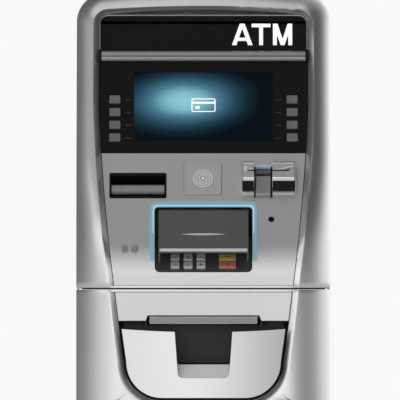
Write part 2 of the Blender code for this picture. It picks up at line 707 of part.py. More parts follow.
def make_audio(frame):
    """Jack socket and the speaker behind its two grilles, on one small carrier."""
    x, v = JACK_AT[0], face_v(JACK_AT[1])
    jack = cylinder("audio_jack", (x, v), "Y", 4.4, -1.0, 16.0, "black_plastic", frame, steps=20)
    cut(jack, cylinder("jack_bore", (x, v), "Y", 1.9, -5, 12, frame=frame, steps=12))
    y = panel_y(SPEAKER_AT[0][1]) + 8.5
    xs = [x for x, _ in SPEAKER_AT]
    z = SPEAKER_AT[0][1]
    box("speaker", (xs[0] - 9, y, z - 11), (xs[1] + 9, y + 16, z + 11), "black_plastic")


def make_light_frame(frame):
    """U-shaped light guide round the top and sides of the PIN pad opening."""
    v1 = face_v(PAD_Z[1])
    outer, inner, top = PAD_HALF + 7.5, PAD_HALF + 0.6, v1 + 5.5
    foot = [LIGHT_FOOT_V * (1 - i / 8) for i in range(9)]
    right = [(outer, v) for v in foot] + arc((outer - 10, top - 10), 10, 0, 90, 4)
    left_in = [(-inner, v) for v in foot] + [(-x, v) for x, v in arc((inner - 7, v1 - 6.4), 7, 0, 90, 4)]
    outline = right + [(-x, v) for x, v in reversed(right)]
    outline += left_in + [(-x, v) for x, v in reversed(left_in)]
    count = len(outline)
    points = [wrapped(x, depth, v) for depth in (-2.6, -0.35) for x, v in outline]
    faces = [(i, (i + 1) % count, (i + 1) % count + count, i + count) for i in range(count)]
    half = count // 2
    for level, turn in ((0, 1), (count, -1)):
        for i in range(half - 1):
            faces.append((level + i, level + i + 1, level + count - 2 - i, level + count - 1 - i)[::turn])
    return mesh_object("pad_light_guide", points, faces, "blue_light")


def wrapped(x, depth, v):
    """A point on the face's own axes, carried round the panel's bend where v is below zero."""
    if v >= 0:
        lean, y, z = TILT, panel_y(FACE_Z), FACE_Z
        y, z = y + v * math.sin(lean), z + v * math.cos(lean)
    else:
        lean = TILT + v / PANEL_BEND
        y = PANEL_Y + PANEL_BEND * (1 - math.cos(lean))
        z = FACE_Z - PANEL_BEND * (math.sin(TILT) - math.sin(lean))
    return (x, y + depth * math.cos(lean), z - depth * math.sin(lean))


def make_pin_pad():
    frame = tilted_frame("pad_frame", PAD_ORIGIN, PAD_TILT)
    half = PAD_HALF - 1.2
    pad = prism("pin_pad", rounded_rectangle(-half, half, 0, PAD_LENGTH, 3, 2), "Y", 0, 22,
                "grey_plastic", frame)
    finishes = ("key_red", "key_yellow", "key_green", "key_metal")
    for row, v in enumerate(KEY_ROWS):
        for column, (x, width) in enumerate(KEY_COLUMNS):
            w, d = width / 2, KEY_DEPTH / 2
            cut(pad, box_in(frame, f"key_well_{row}_{column}", (x - w - GAP, -5, v - d - GAP),
                            (x + w + GAP, 8, v + d + GAP)))
            finish = finishes[row] if column == 3 else "key_metal"
            base = rectangle(x - w, x + w, v - d, v + d)
            top = rectangle(x - w + 0.8, x + w - 0.8, v - d + 0.8, v + d - 0.8)
            points = [(p[0], 5.0, p[1]) for p in base] + [(p[0], -KEY_PROUD + 1, p[1]) for p in base]
            points += [(p[0], -KEY_PROUD, p[1]) for p in top]
            faces = [(3, 2, 1, 0), (8, 9, 10, 11)]
            for level in (0, 4):
                for i in range(4):
                    j = (i + 1) % 4
                    faces.append((level + i, level + j, level + 4 + j, level + 4 + i))
            mesh_object(f"pad_key_{row + 1}_{column + 1}", points, faces, finish, frame, at=(x, 0, v))
    return frame


def make_pad_hood():
    """Privacy hood over the PIN pad: a sloping roof with two side cheeks."""
    half = PAD_HALF - 6.0
    wall = 2.5
    roof_top = (panel_y(1052) - 1.0, 1052.0)
    lip = (-288.0, 985.0)
    cheek_low = (panel_y(966) - 3.0, 966.0)
    outline = [roof_top, lip, (lip[0] + 1.5, lip[1] - 5), cheek_low,
               (panel_y(975) + 1, 975.0), (panel_y(1000) + 9, 1000.0), (panel_y(1052) + 9, 1050.0)]
    hood = prism("pad_hood", outline, "X", -half, half, "grey_plastic")
    inner = [(roof_top[0] + 14, roof_top[1] - wall - 10), (lip[0] + 3, lip[1] - wall - 0.5),
             (lip[0] - 5, lip[1] - 8), (lip[0] - 5, 940), (-180, 940), (-180, 1040)]
    cut(hood, prism("hood_inside", inner, "X", -half + wall, half - wall))
    return hood


def make_fascia_lock():
    """Cam lock through the right flank; its cam swings behind the cabinet's edge."""
    y, z = FASCIA_BACK_Y - 50, 1010.0
    lock = cylinder("fascia_lock", (y, z), "X", 9.0, 180, HALF_WIDTH - 0.2, "bare_steel",
                    steps=20, at=(190, y, z))
    cam = box("lock_cam", (182, y - 6, z - 6), (186, y + 6, z + 62))
    add(lock, cam)
    key_slot = box("key_slot", (196, y - 1, z - 5), (205, y + 1, z + 5))
    cut(lock, key_slot)


# ---------------------------------------------------------------- safe door and tray


def make_lower_bezel():
    high = SEAM_Z - SEAM_HALF
    shell = front_shell("lower_bezel", DOOR_BACK_Y, (BEZEL_BOTTOM_Z - 5, high),
                        (high - SKIN, high + 4), "silver_paint")
    return cut(shell, rear_relief("bezel_relief", BEZEL_BOTTOM_Z - 4, BEZEL_BOTTOM_Z + 5.7))


def rear_relief(name, z0, z1):
    """Helper that ends a cover's plates ahead of the safe door and the fixed pin."""
    half = HALF_WIDTH - SKIN
    return box(name, (-half, DOOR_PIN_Y - 10, z0), (half, DOOR_BACK_Y + 8, z1))


def make_dispenser_panel():
    """Flat plate between the seam and the tray, with the exit mouth in its lower edge."""
    z0, z1 = EXIT_Z[0], SEAM_Z - SEAM_HALF - SKIN - 0.6
    right = [(shield_half(z0) - 0.8, z0), (shield_half(z1) - 0.8, z1)]
    outline = right + [(-x, z) for x, z in reversed(right)]
    panel = prism("dispenser_panel", outline, "Y", PANEL_Y, PANEL_Y + 3, "panel_paint")
    mouth = [(-EXIT_HALF, z0 - 5), (EXIT_HALF, z0 - 5), (EXIT_HALF - 5, EXIT_Z[1]),
             (-EXIT_HALF + 5, EXIT_Z[1])]
    cut(panel, prism("exit_mouth", mouth, "Y", PANEL_Y - 5, PANEL_Y + 8))
    return panel


def make_note_chute():
    """Black moulding: the duct from the safe's note slot, and the tray's back wall."""
    front = PANEL_Y + 3.5
    throat_z0, throat_z1 = NOTE_SLOT_Z
    chute = box("note_chute", (-92, front, throat_z1), (92, -161, throat_z1 + 3), "black_plastic")
    for side in (-1, 1):
        low, high = sorted((side * 89, side * 92))
        add(chute, box(f"chute_side_{side}", (low, front, throat_z0 - 8), (high, -161, throat_z1 + 1)))
    floor = [(-225, throat_z0 - 9), (-161, throat_z0 - 4), (-161, throat_z0 - 1), (-225, throat_z0 - 6)]
    add(chute, prism("chute_floor", floor, "X", -90, 90))
    add(chute, box("tray_back", (-126, -226, 809), (126, -222, throat_z0 - 6)))
    for side in (-1, 1):
        low, high = sorted((side * 92.5, side * 126))
        add(chute, box(f"tray_back_ear_{side}", (low, -226, 850), (high, -222, throat_z0 - 1)))
    return chute


def make_exit_flap():
    """Hinged flap over the note exit; its pin line is along its top edge."""
    top_y, top_z = PANEL_Y + 0.5, EXIT_Z[1] - 3.0
    wide = EXIT_HALF - 7
    outline = [(top_y, top_z + 1.5), (top_y + 2.5, top_z), (top_y - 3, top_z - 10.5),
               (top_y - 6, top_z - 10.0)]
    return prism("exit_flap", outline, "X", -wide, wide, "silver_paint", at=(0, top_y, top_z))


def make_cash_tray():
    """Bulged front wall shaped like the foot of the shield, with a finger notch and a ramp."""
    low_corner_z = SHIELD_BOTTOM_Z + SHIELD_BOTTOM_CORNER
    heights = [SHIELD_BOTTOM_Z + TRAY_GAP, 758, 766, 776, 790, low_corner_z, 838, TRAY_TOP_Z]
    columns = [-1 + i / 8 for i in range(17)]

    def half_at(z):
        if z >= low_corner_z:
            return shield_half(z) - TRAY_GAP
        radius = SHIELD_BOTTOM_CORNER - TRAY_GAP
        drop = low_corner_z - z
        return SHIELD_BOTTOM_HALF + math.sqrt(max(0.0, radius**2 - drop**2))

    points, faces = [], []
    for z in heights:
        half = half_at(z)
        for share in columns:
            x = share * half
            y = TRAY_EDGE_Y - TRAY_BULGE * (1 - (x / SHIELD_HALF) ** 2)
            sag = TRAY_TOP_SAG * (1 - share * share) if z == TRAY_TOP_Z else 0.0
            points.append((x, y, z - sag))
    layer = len(points)
    points += [(x, y + SKIN, z) for x, y, z in points]
    across = len(columns)
    for k in range(len(heights) - 1):
        for i in range(across - 1):
            a, b = k * across + i, (k + 1) * across + i
            faces.append((a, a + 1, b + 1, b))
            faces.append((layer + b, layer + b + 1, layer + a + 1, layer + a))
    border = [i for i in range(across)]
    border += [k * across + across - 1 for k in range(1, len(heights))]
    border += [(len(heights) - 1) * across + i for i in range(across - 2, -1, -1)]
    border += [k * across for k in range(len(heights) - 2, 0, -1)]
    for i, a in enumerate(border):
        b = border[(i + 1) % len(border)]
        faces.append((b, a, layer + a, layer + b))
    tray = mesh_object("cash_tray", points, faces, "silver_paint")
    notch = [(NOTCH_HALF[0] + 2, TRAY_TOP_Z + 5), (-NOTCH_HALF[0] - 2, TRAY_TOP_Z + 5)]
    notch += arc((-NOTCH_HALF[1] + 8, NOTCH_Z + 8), 8, 180, 270, 4)
    notch += arc((NOTCH_HALF[1] - 8, NOTCH_Z + 8), 8, 270, 360, 4)
    cut(tray, prism("finger_notch", notch, "Y", -330, -230))
    ramp = [(-270.0, 787.1), (-270.0, 784.0), (-218.0, 803.0), (-218.0, 806.5)]
    add(tray, prism("tray_ramp", ramp, "X", -104, 104))
    ramp = [(-280.5, 783.2), (-280.5, 780.2), (-266.0, 785.5), (-266.0, 788.6)]
    add(tray, prism("tray_ramp_front", ramp, "X", -50, 50))
    for side in (-1, 1):
        low, high = sorted((side * 101, side * 104))
        cheek = [(-268.0, 786.0), (-229.0, 800.5), (-229.0, 856.0), (-268.0, 856.0)]
        add(tray, prism(f"tray_cheek_{side}", cheek, "X", low, high))
    return tray


def cover_outline(inset=0.0, back=DOOR_BACK_Y):
    """Plan of the plain lower cover, (x, y)."""
    radius = ROLL_BOTTOM - inset
    centre = (HALF_WIDTH - ROLL_BOTTOM, RIM_Y + ROLL_BOTTOM)
    right = [(HALF_WIDTH - inset, back)] + arc(centre, radius, 0, -90, 8)
    return right + [(-x, y) for x, y in reversed(right)]


def make_door_cover():
    cover = prism("door_cover", cover_outline(), "Z", 22, BEZEL_BOTTOM_Z - 3, "silver_paint")
    hollow = prism("cover_hollow", cover_outline(SKIN, DOOR_BACK_Y + 10), "Z", 25, BEZEL_BOTTOM_Z - 6)
    cut(cover, hollow)
    cut(cover, rear_relief("cover_relief", 5, BEZEL_BOTTOM_Z + 5))
    for name, (x, z), radius in (("dial", DIAL_AT, 12), ("handle", HANDLE_AT, 12)):
        cut(cover, cylinder(f"{name}_opening", (x, z), "Y", radius, -300, -240, steps=20))
    return cover


def make_safe_door():
    y0, y1 = -160.0, -152.0
    door = box("safe_door", (-192, y0, 10), (192, y1, 918), "safe_steel")
    cut(door, box("door_note_slot", (-88, y0 - 3, NOTE_SLOT_Z[0] - 1), (88, y1 + 3, NOTE_SLOT_Z[1] + 1)))
    for i, (x, z) in enumerate((DIAL_AT, HANDLE_AT)):
        cut(door, cylinder(f"spindle_hole_{i}", (x, z), "Y", 9, -170, -140, steps=16))
    for i, z in enumerate((850.0, 52.0)):
        lug = box(f"door_lug_{i}", (PIN_X - 7, DOOR_PIN_Y - 7, z), (PIN_X + 7, y0 + 2, z + 10))
        add(door, lug)
        cut(door, cylinder(f"door_lug_bore_{i}", (PIN_X, DOOR_PIN_Y), "Z",
                           PIN_RADIUS + GAP, z - 5, z + 15, steps=12))
    for i, z in enumerate((862.0, 40.0)):
        cut(door, box(f"door_arm_relief_{i}", (-200, -170, z - 1.5), (PIN_X + 38, -140, z + 12)))
    return door


def make_lock_parts():
    x, z = DIAL_AT
    dial = cylinder("lock_dial", (x, z), "Y", 27, -283, -262, "bare_steel", steps=32, at=(x, -262, z))
    add(dial, cylinder("dial_spindle", (x, z), "Y", 8, -270, -150, steps=16))
    add(dial, box("dial_grip", (x - 4, -290, z - 20), (x + 4, -280, z + 20)))
    x, z = HANDLE_AT
    handle = cylinder("door_handle", (x, z), "Y", 20, -276, -262, "bare_steel", steps=24,
                      at=(x, -262, z))
    add(handle, cylinder("handle_spindle", (x, z), "Y", 8, -270, -146, steps=16))
    lever = rounded_rectangle(x - 100, x + 12, z - 9, z + 9, 8.5, 4)
    add(handle, prism("handle_lever", lever, "Y", -290, -275))
    bolts = box("lock_bolts", (143, -137, 120), (155, -131, 800), "bare_steel")
    for i, height in enumerate(BOLT_HEIGHTS):
        add(bolts, cylinder(f"bolt_{i}", (-134, height), "X", 7, 130, 172, steps=16))


def build():
    for old in list(bpy.data.objects):
        bpy.data.objects.remove(old)
    bpy.context.scene.unit_settings.system = "METRIC"
    face = tilted_frame("face_frame", (0, panel_y(FACE_Z), FACE_Z), TILT)
    bpy.context.view_layer.update()
    make_upper_cabinet()
    make_safe_body()
    make_inside_modules()
    make_fascia_shell()
    make_sign(face)
    make_brow(face)
    make_display(face)
    open_panel(make_control_panel(), face)
    make_receipt_unit(face)
    make_card_reader(face)
    make_contactless(face)
    make_audio(face)
    make_light_frame(face)
    make_pin_pad()
    make_pad_hood()
    make_fascia_lock()
    make_lower_bezel()
    make_dispenser_panel()
    make_note_chute()
    make_exit_flap()
    make_cash_tray()
    make_door_cover()
    make_safe_door()
    make_lock_parts()


build()
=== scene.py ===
"""Finish and studio for a slim free-standing retail cash machine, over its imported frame.

Sizes are in millimetres in the frame's axes: +Z up, -Y towards the user, +X to the user's right.
Each operator makes one piece or one group of like pieces and rides it on its body.
"""

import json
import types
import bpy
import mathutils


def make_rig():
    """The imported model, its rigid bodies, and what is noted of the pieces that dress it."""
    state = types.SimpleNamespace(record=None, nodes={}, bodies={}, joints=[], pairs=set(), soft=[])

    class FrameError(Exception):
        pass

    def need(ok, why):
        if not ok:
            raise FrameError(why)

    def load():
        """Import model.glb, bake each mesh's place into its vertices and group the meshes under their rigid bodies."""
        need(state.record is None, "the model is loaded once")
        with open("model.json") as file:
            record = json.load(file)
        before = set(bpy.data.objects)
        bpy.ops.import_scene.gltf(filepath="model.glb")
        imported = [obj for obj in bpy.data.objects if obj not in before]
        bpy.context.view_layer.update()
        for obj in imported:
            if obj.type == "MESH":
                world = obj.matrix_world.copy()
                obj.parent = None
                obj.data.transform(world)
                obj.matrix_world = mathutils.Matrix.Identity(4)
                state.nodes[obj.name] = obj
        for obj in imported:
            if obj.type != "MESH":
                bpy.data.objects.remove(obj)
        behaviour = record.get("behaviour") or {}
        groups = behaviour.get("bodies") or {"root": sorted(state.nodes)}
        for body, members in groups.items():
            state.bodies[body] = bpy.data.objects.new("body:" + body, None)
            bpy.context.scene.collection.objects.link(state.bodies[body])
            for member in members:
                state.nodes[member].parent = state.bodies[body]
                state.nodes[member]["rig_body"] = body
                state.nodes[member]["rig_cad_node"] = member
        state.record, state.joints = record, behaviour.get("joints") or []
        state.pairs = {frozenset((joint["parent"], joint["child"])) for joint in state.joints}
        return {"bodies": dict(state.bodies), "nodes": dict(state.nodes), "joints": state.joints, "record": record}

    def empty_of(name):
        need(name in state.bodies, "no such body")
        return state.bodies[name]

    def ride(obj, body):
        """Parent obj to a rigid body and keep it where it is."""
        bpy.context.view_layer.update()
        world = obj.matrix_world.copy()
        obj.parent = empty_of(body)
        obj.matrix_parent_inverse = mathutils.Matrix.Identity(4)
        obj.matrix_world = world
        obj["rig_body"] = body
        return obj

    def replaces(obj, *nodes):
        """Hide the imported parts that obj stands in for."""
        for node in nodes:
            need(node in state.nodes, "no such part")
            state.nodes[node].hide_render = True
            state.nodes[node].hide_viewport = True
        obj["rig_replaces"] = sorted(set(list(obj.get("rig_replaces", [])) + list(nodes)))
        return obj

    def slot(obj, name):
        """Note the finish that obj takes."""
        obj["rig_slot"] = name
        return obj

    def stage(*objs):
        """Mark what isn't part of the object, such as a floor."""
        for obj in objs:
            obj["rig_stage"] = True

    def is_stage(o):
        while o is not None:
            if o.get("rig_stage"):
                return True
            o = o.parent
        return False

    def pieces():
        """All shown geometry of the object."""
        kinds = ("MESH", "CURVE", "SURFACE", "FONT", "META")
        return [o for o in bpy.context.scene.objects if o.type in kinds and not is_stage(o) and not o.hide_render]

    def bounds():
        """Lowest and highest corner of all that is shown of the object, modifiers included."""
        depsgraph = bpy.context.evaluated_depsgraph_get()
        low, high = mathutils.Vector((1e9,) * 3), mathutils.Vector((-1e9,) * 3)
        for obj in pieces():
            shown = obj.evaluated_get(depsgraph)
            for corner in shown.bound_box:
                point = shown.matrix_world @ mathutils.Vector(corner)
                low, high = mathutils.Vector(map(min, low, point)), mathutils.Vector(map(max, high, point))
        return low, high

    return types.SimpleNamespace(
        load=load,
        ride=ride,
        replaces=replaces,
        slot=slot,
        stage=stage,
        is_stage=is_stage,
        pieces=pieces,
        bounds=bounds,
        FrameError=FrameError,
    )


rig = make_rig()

bl_info = {
    "name": "Retail Cash Machine",
    "version": (1, 0, 0),
    "blender": (4, 5, 0),
    "location": "View3D > Sidebar > Cash Machine",
    "description": "Builds the finished look of a slim retail cash machine",
    "category": "Object",
}

import json
import math

import bmesh
import bpy
from bpy.props import FloatProperty, FloatVectorProperty, IntProperty, PointerProperty
from mathutils import Matrix, Vector

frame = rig.load()
CAD_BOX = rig.bounds()

MM = 0.001
HALF_WIDTH = 200.0
HEIGHT = 1400.0
BACK_Y = 290.0
SKIN = 3.0
SEAM = (923.5, 926.5)
TOP_SAG = 9.0
OUTLINE_CORNER = 45.0
BEZEL_BOTTOM_Z = 722.0
TILT = math.radians(27.3)
FACE_Z = 1000.0
PANEL_BEND = 120.0
PANEL_Y = -256.0
RIM_BEND = 207.0
RIM_Y = -260.5
RIM_BEND_Z = 945.0
ROLL_TOP = 36.0
ROLL_BOTTOM = 70.0
ROLL_BLEND_Z = 1140.0
ROLL_BLEND = 190.0
SHIELD_TOP_Z = 1362.0
SHIELD_TOP_SAG = 5.0
SHIELD_HALF = 165.0
SHIELD_CORNER = 15.0
SHIELD_STRAIGHT_Z = 1222.0
SHIELD_TAPER = 0.004787
SHIELD_TAPER_POWER = 1.5
SHIELD_BOTTOM_Z = 750.0
SHIELD_BOTTOM_CORNER = 60.0
SHIELD_BOTTOM_HALF = 65.0
CHAMFER = 8.0
SHIELD_LIP = 5.0
FASCIA_BACK_Y = 10.0
CABINET_FRONT_Y = 14.0
DOOR_BACK_Y = -150.0
PAD_TILT = math.radians(51.0)
PAD_HALF = 76.5
PAD_FOOT = (0, -249.0, 953.0)
KEY_ROWS = (12.0, 31.0, 50.0, 69.0)
KEY_COLUMNS = ((-44.7, 14.0), (-24.3, 14.0), (-3.9, 14.0), (37.8, 27.0))
KEY_SIGNS = (("star", "0", "hash"), ("7", "8", "9"), ("4", "5", "6"), ("1", "2", "3"))
# The red, yellow and metal key looks carry painted light against the hood's shade.
SIDE_KEY_LOOKS = ("key_red", "key_yellow", "key_green", "key_metal")
SIGN_Z = (1301.0, 1356.0)
TRIM_TOP_Z = 1357.2
LETTER_Z = (1308.5, 1342.0)
BROW_Z = (1281.5, 1300.0)
DISPLAY_Z = (1138.5, 1280.5)
WINDOW_Z = (1157.5, 1266.5)
RECEIPT_Z = (1067.0, 1107.0)
READER_Z = (1072.0, 1122.5)
CARD_Z = (1067.0, 1119.0)
CARD_SLOT_Z = 1100.5
JACK_X = 106.5
JACK_Z = 1034.0
SPEAKER_X = (-123.5, -108.0)
SPEAKER_Z = 987.5
CAM_LOCK = (-40, 1010)
FUNCTION_KEY_X = 139.6
FUNCTION_KEY_Z = (1222.0, 1202.0, 1182.0, 1162.0)
SIDES = ((-1, "left"), (1, "right"))
DIAL = (95.0, 610.0)
HANDLE = (95.0, 500.0)
FASCIA_PIN = (-185, -6)
SHELL_SHARP = 40
FLOOR_HALF = 14
SENSOR = 36.0
LENS_DISTANCE = 30.0
LENS_FIELD = 0.6324
LENS_TRIM = 1.006


# ------------------------------------------------------------------ surface rules


def bent_y(z, base_y, bend):
    """Depth of a front profile: vertical, then an arc, then straight at the face's tilt."""
    rise = z - RIM_BEND_Z
    if bend == PANEL_BEND:
        rise = z - (FACE_Z - bend * math.sin(TILT))
    if rise <= 0:
        return base_y
    if rise < bend * math.sin(TILT):
        return base_y + bend - math.sqrt(bend * bend - rise * rise)
    return base_y + bend * (1 - math.cos(TILT)) + (rise - bend * math.sin(TILT)) * math.tan(TILT)


def panel_y(z):
    return bent_y(z, PANEL_Y, PANEL_BEND)


def rim_y(z):
    return bent_y(z, RIM_Y, RIM_BEND)


def roll_radius(z):
    share = min(1.0, max(0.0, (ROLL_BLEND_Z - z) / ROLL_BLEND))
    return ROLL_TOP + (ROLL_BOTTOM - ROLL_TOP) * share * share * (3 - 2 * share)


def shield_half(z):
    drop = max(0.0, SHIELD_STRAIGHT_Z - z)
    return SHIELD_HALF - SHIELD_TAPER * drop**SHIELD_TAPER_POWER


def face_v(z):
    return (z - FACE_Z) / math.cos(TILT)


FACE = Matrix.Translation((0, panel_y(FACE_Z), FACE_Z)) @ Matrix.Rotation(-TILT, 4, "X")
PAD = Matrix.Translation(PAD_FOOT) @ Matrix.Rotation(-PAD_TILT, 4, "X")
UPRIGHT = Matrix.Identity(4)


# ------------------------------------------------------------------ mesh helpers


def arc(centre, radius, start, end, steps):
    angles = [math.radians(start + (end - start) * i / steps) for i in range(steps + 1)]
    return [(centre[0] + radius * math.cos(a), centre[1] + radius * math.sin(a)) for a in angles]


def rounded_rectangle(x0, x1, z0, z1, radius, steps=6):
    corners = (
        ((x1 - radius, z1 - radius), 0),
        ((x0 + radius, z1 - radius), 90),
        ((x0 + radius, z0 + radius), 180),
        ((x1 - radius, z0 + radius), 270),
    )
    points = []
    for centre, start in corners:
        points += arc(centre, radius, start, start + 90, steps)
    return points


def rectangle(x0, x1, z0, z1):
    return [(x0, z0), (x1, z0), (x1, z1), (x0, z1)]


def mirrored(right):
    """A closed outline from its right half, listed from bottom to top."""
    return right + [(-x, z) for x, z in reversed(right)]


def linked(name, data):
    """A new object at the origin, in the scene."""
    made = bpy.data.objects.new(name, data)
    bpy.context.scene.collection.objects.link(made)
    return made


def mesh_piece(name, points, faces, place=UPRIGHT, merge=0.000005):
    """A mesh object at the origin, from points in millimetres in a tilted or upright place."""
    mesh = bpy.data.meshes.new(name)
    mesh.from_pydata([(place @ Vector(p)) * MM for p in points], [], faces)
    work = bmesh.new()
    work.from_mesh(mesh)
    if merge:
        bmesh.ops.remove_doubles(work, verts=work.verts, dist=merge)
    bmesh.ops.recalc_face_normals(work, faces=work.faces)
    work.to_mesh(mesh)
    work.free()
    return linked(name, mesh)


def prism(name, outline, axis, start, end, place=UPRIGHT):
    """A straight extrusion: X takes (y, z), Y takes (x, z), Z takes (x, y)."""
    def point(flat, along):
        if axis == "X":
            return (along, flat[0], flat[1])
        if axis == "Y":
            return (flat[0], along, flat[1])
        return (flat[0], flat[1], along)

    count = len(outline)
    points = [point(p, start) for p in outline] + [point(p, end) for p in outline]
    faces = [tuple(range(count)), tuple(range(2 * count - 1, count - 1, -1))]
    faces += [(i, (i + 1) % count, (i + 1) % count + count, i + count) for i in range(count)]
    return mesh_piece(name, points, faces, place)


def face_prism(name, outline, start, end):
    """An outline on the inclined face, given depth square to it."""
    return prism(name, outline, "Y", start, end, FACE)


def face_bar(name, outline, start, end):
    """A section on the inclined face, run across the machine."""
    return prism(name, outline, "X", start, end, FACE)


def block(name, low, high, place=UPRIGHT):
    return prism(name, rectangle(low[0], high[0], low[2], high[2]), "Y", low[1], high[1], place)


def rod(name, centre, axis, radius, start, end, place=UPRIGHT, steps=48):
    return prism(name, arc(centre, radius, 0, 360 - 360 / steps, steps - 1), axis, start, end,
                 place)


def turned(name, profile, place, steps=64):
    """A solid of revolution about the place's Y axis, from (radius, y) with both ends on it."""
    points, faces = [], []
    for i in range(steps):
        angle = 2 * math.pi * i / steps
        for radius, y in profile:
            points.append((radius * math.cos(angle), y, radius * math.sin(angle)))
    count = len(profile)
    for i in range(steps):
        j = (i + 1) % steps
        for k in range(count - 1):
            faces.append((i * count + k, i * count + k + 1, j * count + k + 1, j * count + k))
    return mesh_piece(name, points, faces, place)


def modified(piece, kind, **settings):
    """Adds a modifier with its settings and applies it."""
    modifier = piece.modifiers.new(kind, kind)
    for key, value in settings.items():
        setattr(modifier, key, value)
    return baked(piece)


def combine(piece, other, operation):
    modified(piece, "BOOLEAN", operation=operation, object=other)
    bpy.data.objects.remove(other)
    return piece


def cut(piece, *others):
    for other in others:
        combine(piece, other, "DIFFERENCE")
    return piece


def join_solid(piece, *others):
    for other in others:
        combine(piece, other, "UNION")
    return piece


def baked(piece):
    """Applies what modifiers a piece has and leaves a plain mesh."""
    graph = bpy.context.evaluated_depsgraph_get()
    graph.update()
    mesh = bpy.data.meshes.new_from_object(piece.evaluated_get(graph))
    piece.modifiers.clear()
    old = piece.data
    piece.data = mesh
    if old.users == 0:
        bpy.data.meshes.remove(old)
    return piece


def shaded(piece, sharp=32):
    """Smooth shading, broken at edges sharper than an angle in degrees."""
    piece.data.shade_smooth()
    piece.data.set_sharp_from_angle(angle=math.radians(sharp))
    return piece


def eased(piece, width, segments=3, angle=38):
    """Rounds the piece's hard edges and shades it smooth between them."""
    if width:
        modified(piece, "BEVEL", width=width * MM, segments=segments, limit_method="ANGLE",
                 angle_limit=math.radians(angle), use_clamp_overlap=True, miter_outer="MITER_ARC",
                 harden_normals=False)
    shaded(piece)
    if width:
        modified(piece, "WEIGHTED_NORMAL", keep_sharp=True)
    return piece


def dressed(piece, look, body, *nodes, slot=None):
    """Gives a piece its material, its body, its slot and the nodes it stands for."""
    if not piece.data.materials:
        piece.data.materials.append(finish(look))
    else:
        piece.data.materials[0] = finish(look)
    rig.ride(piece, body)
    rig.slot(piece, slot or SLOTS.get(look, look))
    if nodes:
        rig.replaces(piece, *nodes)
    return piece


def refined(name, node, width, segments=2):
    """A copy of a frame node with merged faces and eased edges."""
    mesh = frame["nodes"][node].data.copy()
    mesh.materials.clear()
    while mesh.color_attributes:
        mesh.color_attributes.remove(mesh.color_attributes[0])
    work = bmesh.new()
    work.from_mesh(mesh)
    bmesh.ops.remove_doubles(work, verts=work.verts, dist=0.00002)
    bmesh.ops.dissolve_limit(work, angle_limit=math.radians(1.5), verts=work.verts,
                             edges=work.edges)
    work.to_mesh(mesh)
    work.free()
    return eased(linked(name, mesh), width, segments)


def done(piece, width, look, body, *nodes, slot=None):
    """Eases a piece's edges and dresses it."""
    return dressed(eased(piece, width), look, body, *nodes, slot=slot)


def finished_node(name, node_name, width, look, body, segments=2):
    """Dresses the eased copy of a frame node that it stands for."""
    return dressed(refined(name, node_name, width, segments), look, body, node_name)


def with_finish(target, *others):
    """Joins whole pieces into the target and keeps each one's own material."""
    work = bmesh.new()
    work.from_mesh(target.data)
    for other in others:
        shift = len(target.data.materials)
        for used in other.data.materials:
            target.data.materials.append(used)
        before = len(work.faces)
        work.from_mesh(other.data)
        work.faces.ensure_lookup_table()
        for face in work.faces[before:]:
            face.material_index += shift
        old = other.data
        bpy.data.objects.remove(other)
        if old.users == 0:
            bpy.data.meshes.remove(old)
    work.to_mesh(target.data)
    work.free()
    return target


# ------------------------------------------------------------------ shader groups


FINISHES = {}
GROUPS = {}
DUST_COLOUR = (0.34, 0.33, 0.31, 1)
SCREEN_STOPS = (
    (0.0, (0.3, 0.6, 0.7)), (0.24, (0.22, 0.48, 0.57)), (0.36, (0.12, 0.32, 0.41)),
    (0.44, (0.07, 0.19, 0.27)), (0.55, (0.036, 0.11, 0.17)), (0.68, (0.014, 0.05, 0.082)),
    (0.82, (0.005, 0.018, 0.03)), (1.0, (0.001, 0.003, 0.006)))


def node(tree, kind, links=None, **values):
    """A node with its settings, plain socket values and links from other sockets."""
    made = tree.nodes.new(kind)
    for key, value in values.items():
        setattr(made, key, value)
    for key, value in (links or {}).items():
        if isinstance(value, bpy.types.NodeSocket):
            tree.links.new(value, made.inputs[key])
        else:
            made.inputs[key].default_value = value
    return made


def surface_group(name, **inputs):
    """A shader group with named inputs, and its object coordinates."""
    tree = bpy.data.node_groups.new(name, "ShaderNodeTree")
    for key, default in inputs.items():
        kind = "NodeSocketFloat" if isinstance(default, float) else "NodeSocketColor"
        socket = tree.interface.new_socket(key.replace("_", " "), in_out="INPUT", socket_type=kind)
        socket.default_value = default
    for label, kind in (("Color", "Color"), ("Roughness", "Float"), ("Normal", "Vector")):
        tree.interface.new_socket(label, in_out="OUTPUT", socket_type="NodeSocket" + kind)
    values = tree.nodes.new("NodeGroupInput").outputs
    return tree, values, node(tree, "ShaderNodeTexCoord").outputs["Object"]


def end_group(tree, colour, rough, strength, distance, height):
    """Adds the bump and joins the group's three outputs."""
    bump = node(tree, "ShaderNodeBump", {"Strength": strength, "Distance": distance,
                                         "Height": height})
    node(tree, "NodeGroupOutput", {"Color": colour, "Roughness": rough, "Normal": bump.outputs[0]})
    return tree


def calc(tree, operation, *values):
    """Output of a Math node on plain values and sockets."""
    return node(tree, "ShaderNodeMath", dict(enumerate(values)), operation=operation).outputs[0]


def noise(tree, scale, detail, vector, stretch=None):
    """Noise on object coordinates, with an optional stretch per axis."""
    if stretch:
        vector = node(tree, "ShaderNodeMapping", {"Vector": vector, "Scale": stretch}).outputs[0]
    made = node(tree, "ShaderNodeTexNoise", {"Vector": vector, "Scale": scale, "Detail": detail,
                                             "Roughness": 0.55})
    return made.outputs["Fac"]


def scaled(tree, colour, gain):
    made = node(tree, "ShaderNodeVectorMath", {0: colour, "Scale": gain}, operation="SCALE")
    return made.outputs[0]


def fill_ramp(picture, stops):
    """Sets the stops of a colour ramp, from (position, grey or colour)."""
    band = picture.color_ramp
    for i, (at, colour) in enumerate(stops):
        stop = band.elements[i] if i < 2 else band.elements.new(at)
        stop.position = at
        stop.color = rgba(colour)


def rgba(colour):
    return (colour, colour, colour, 1) if isinstance(colour, float) else (*colour, 1)


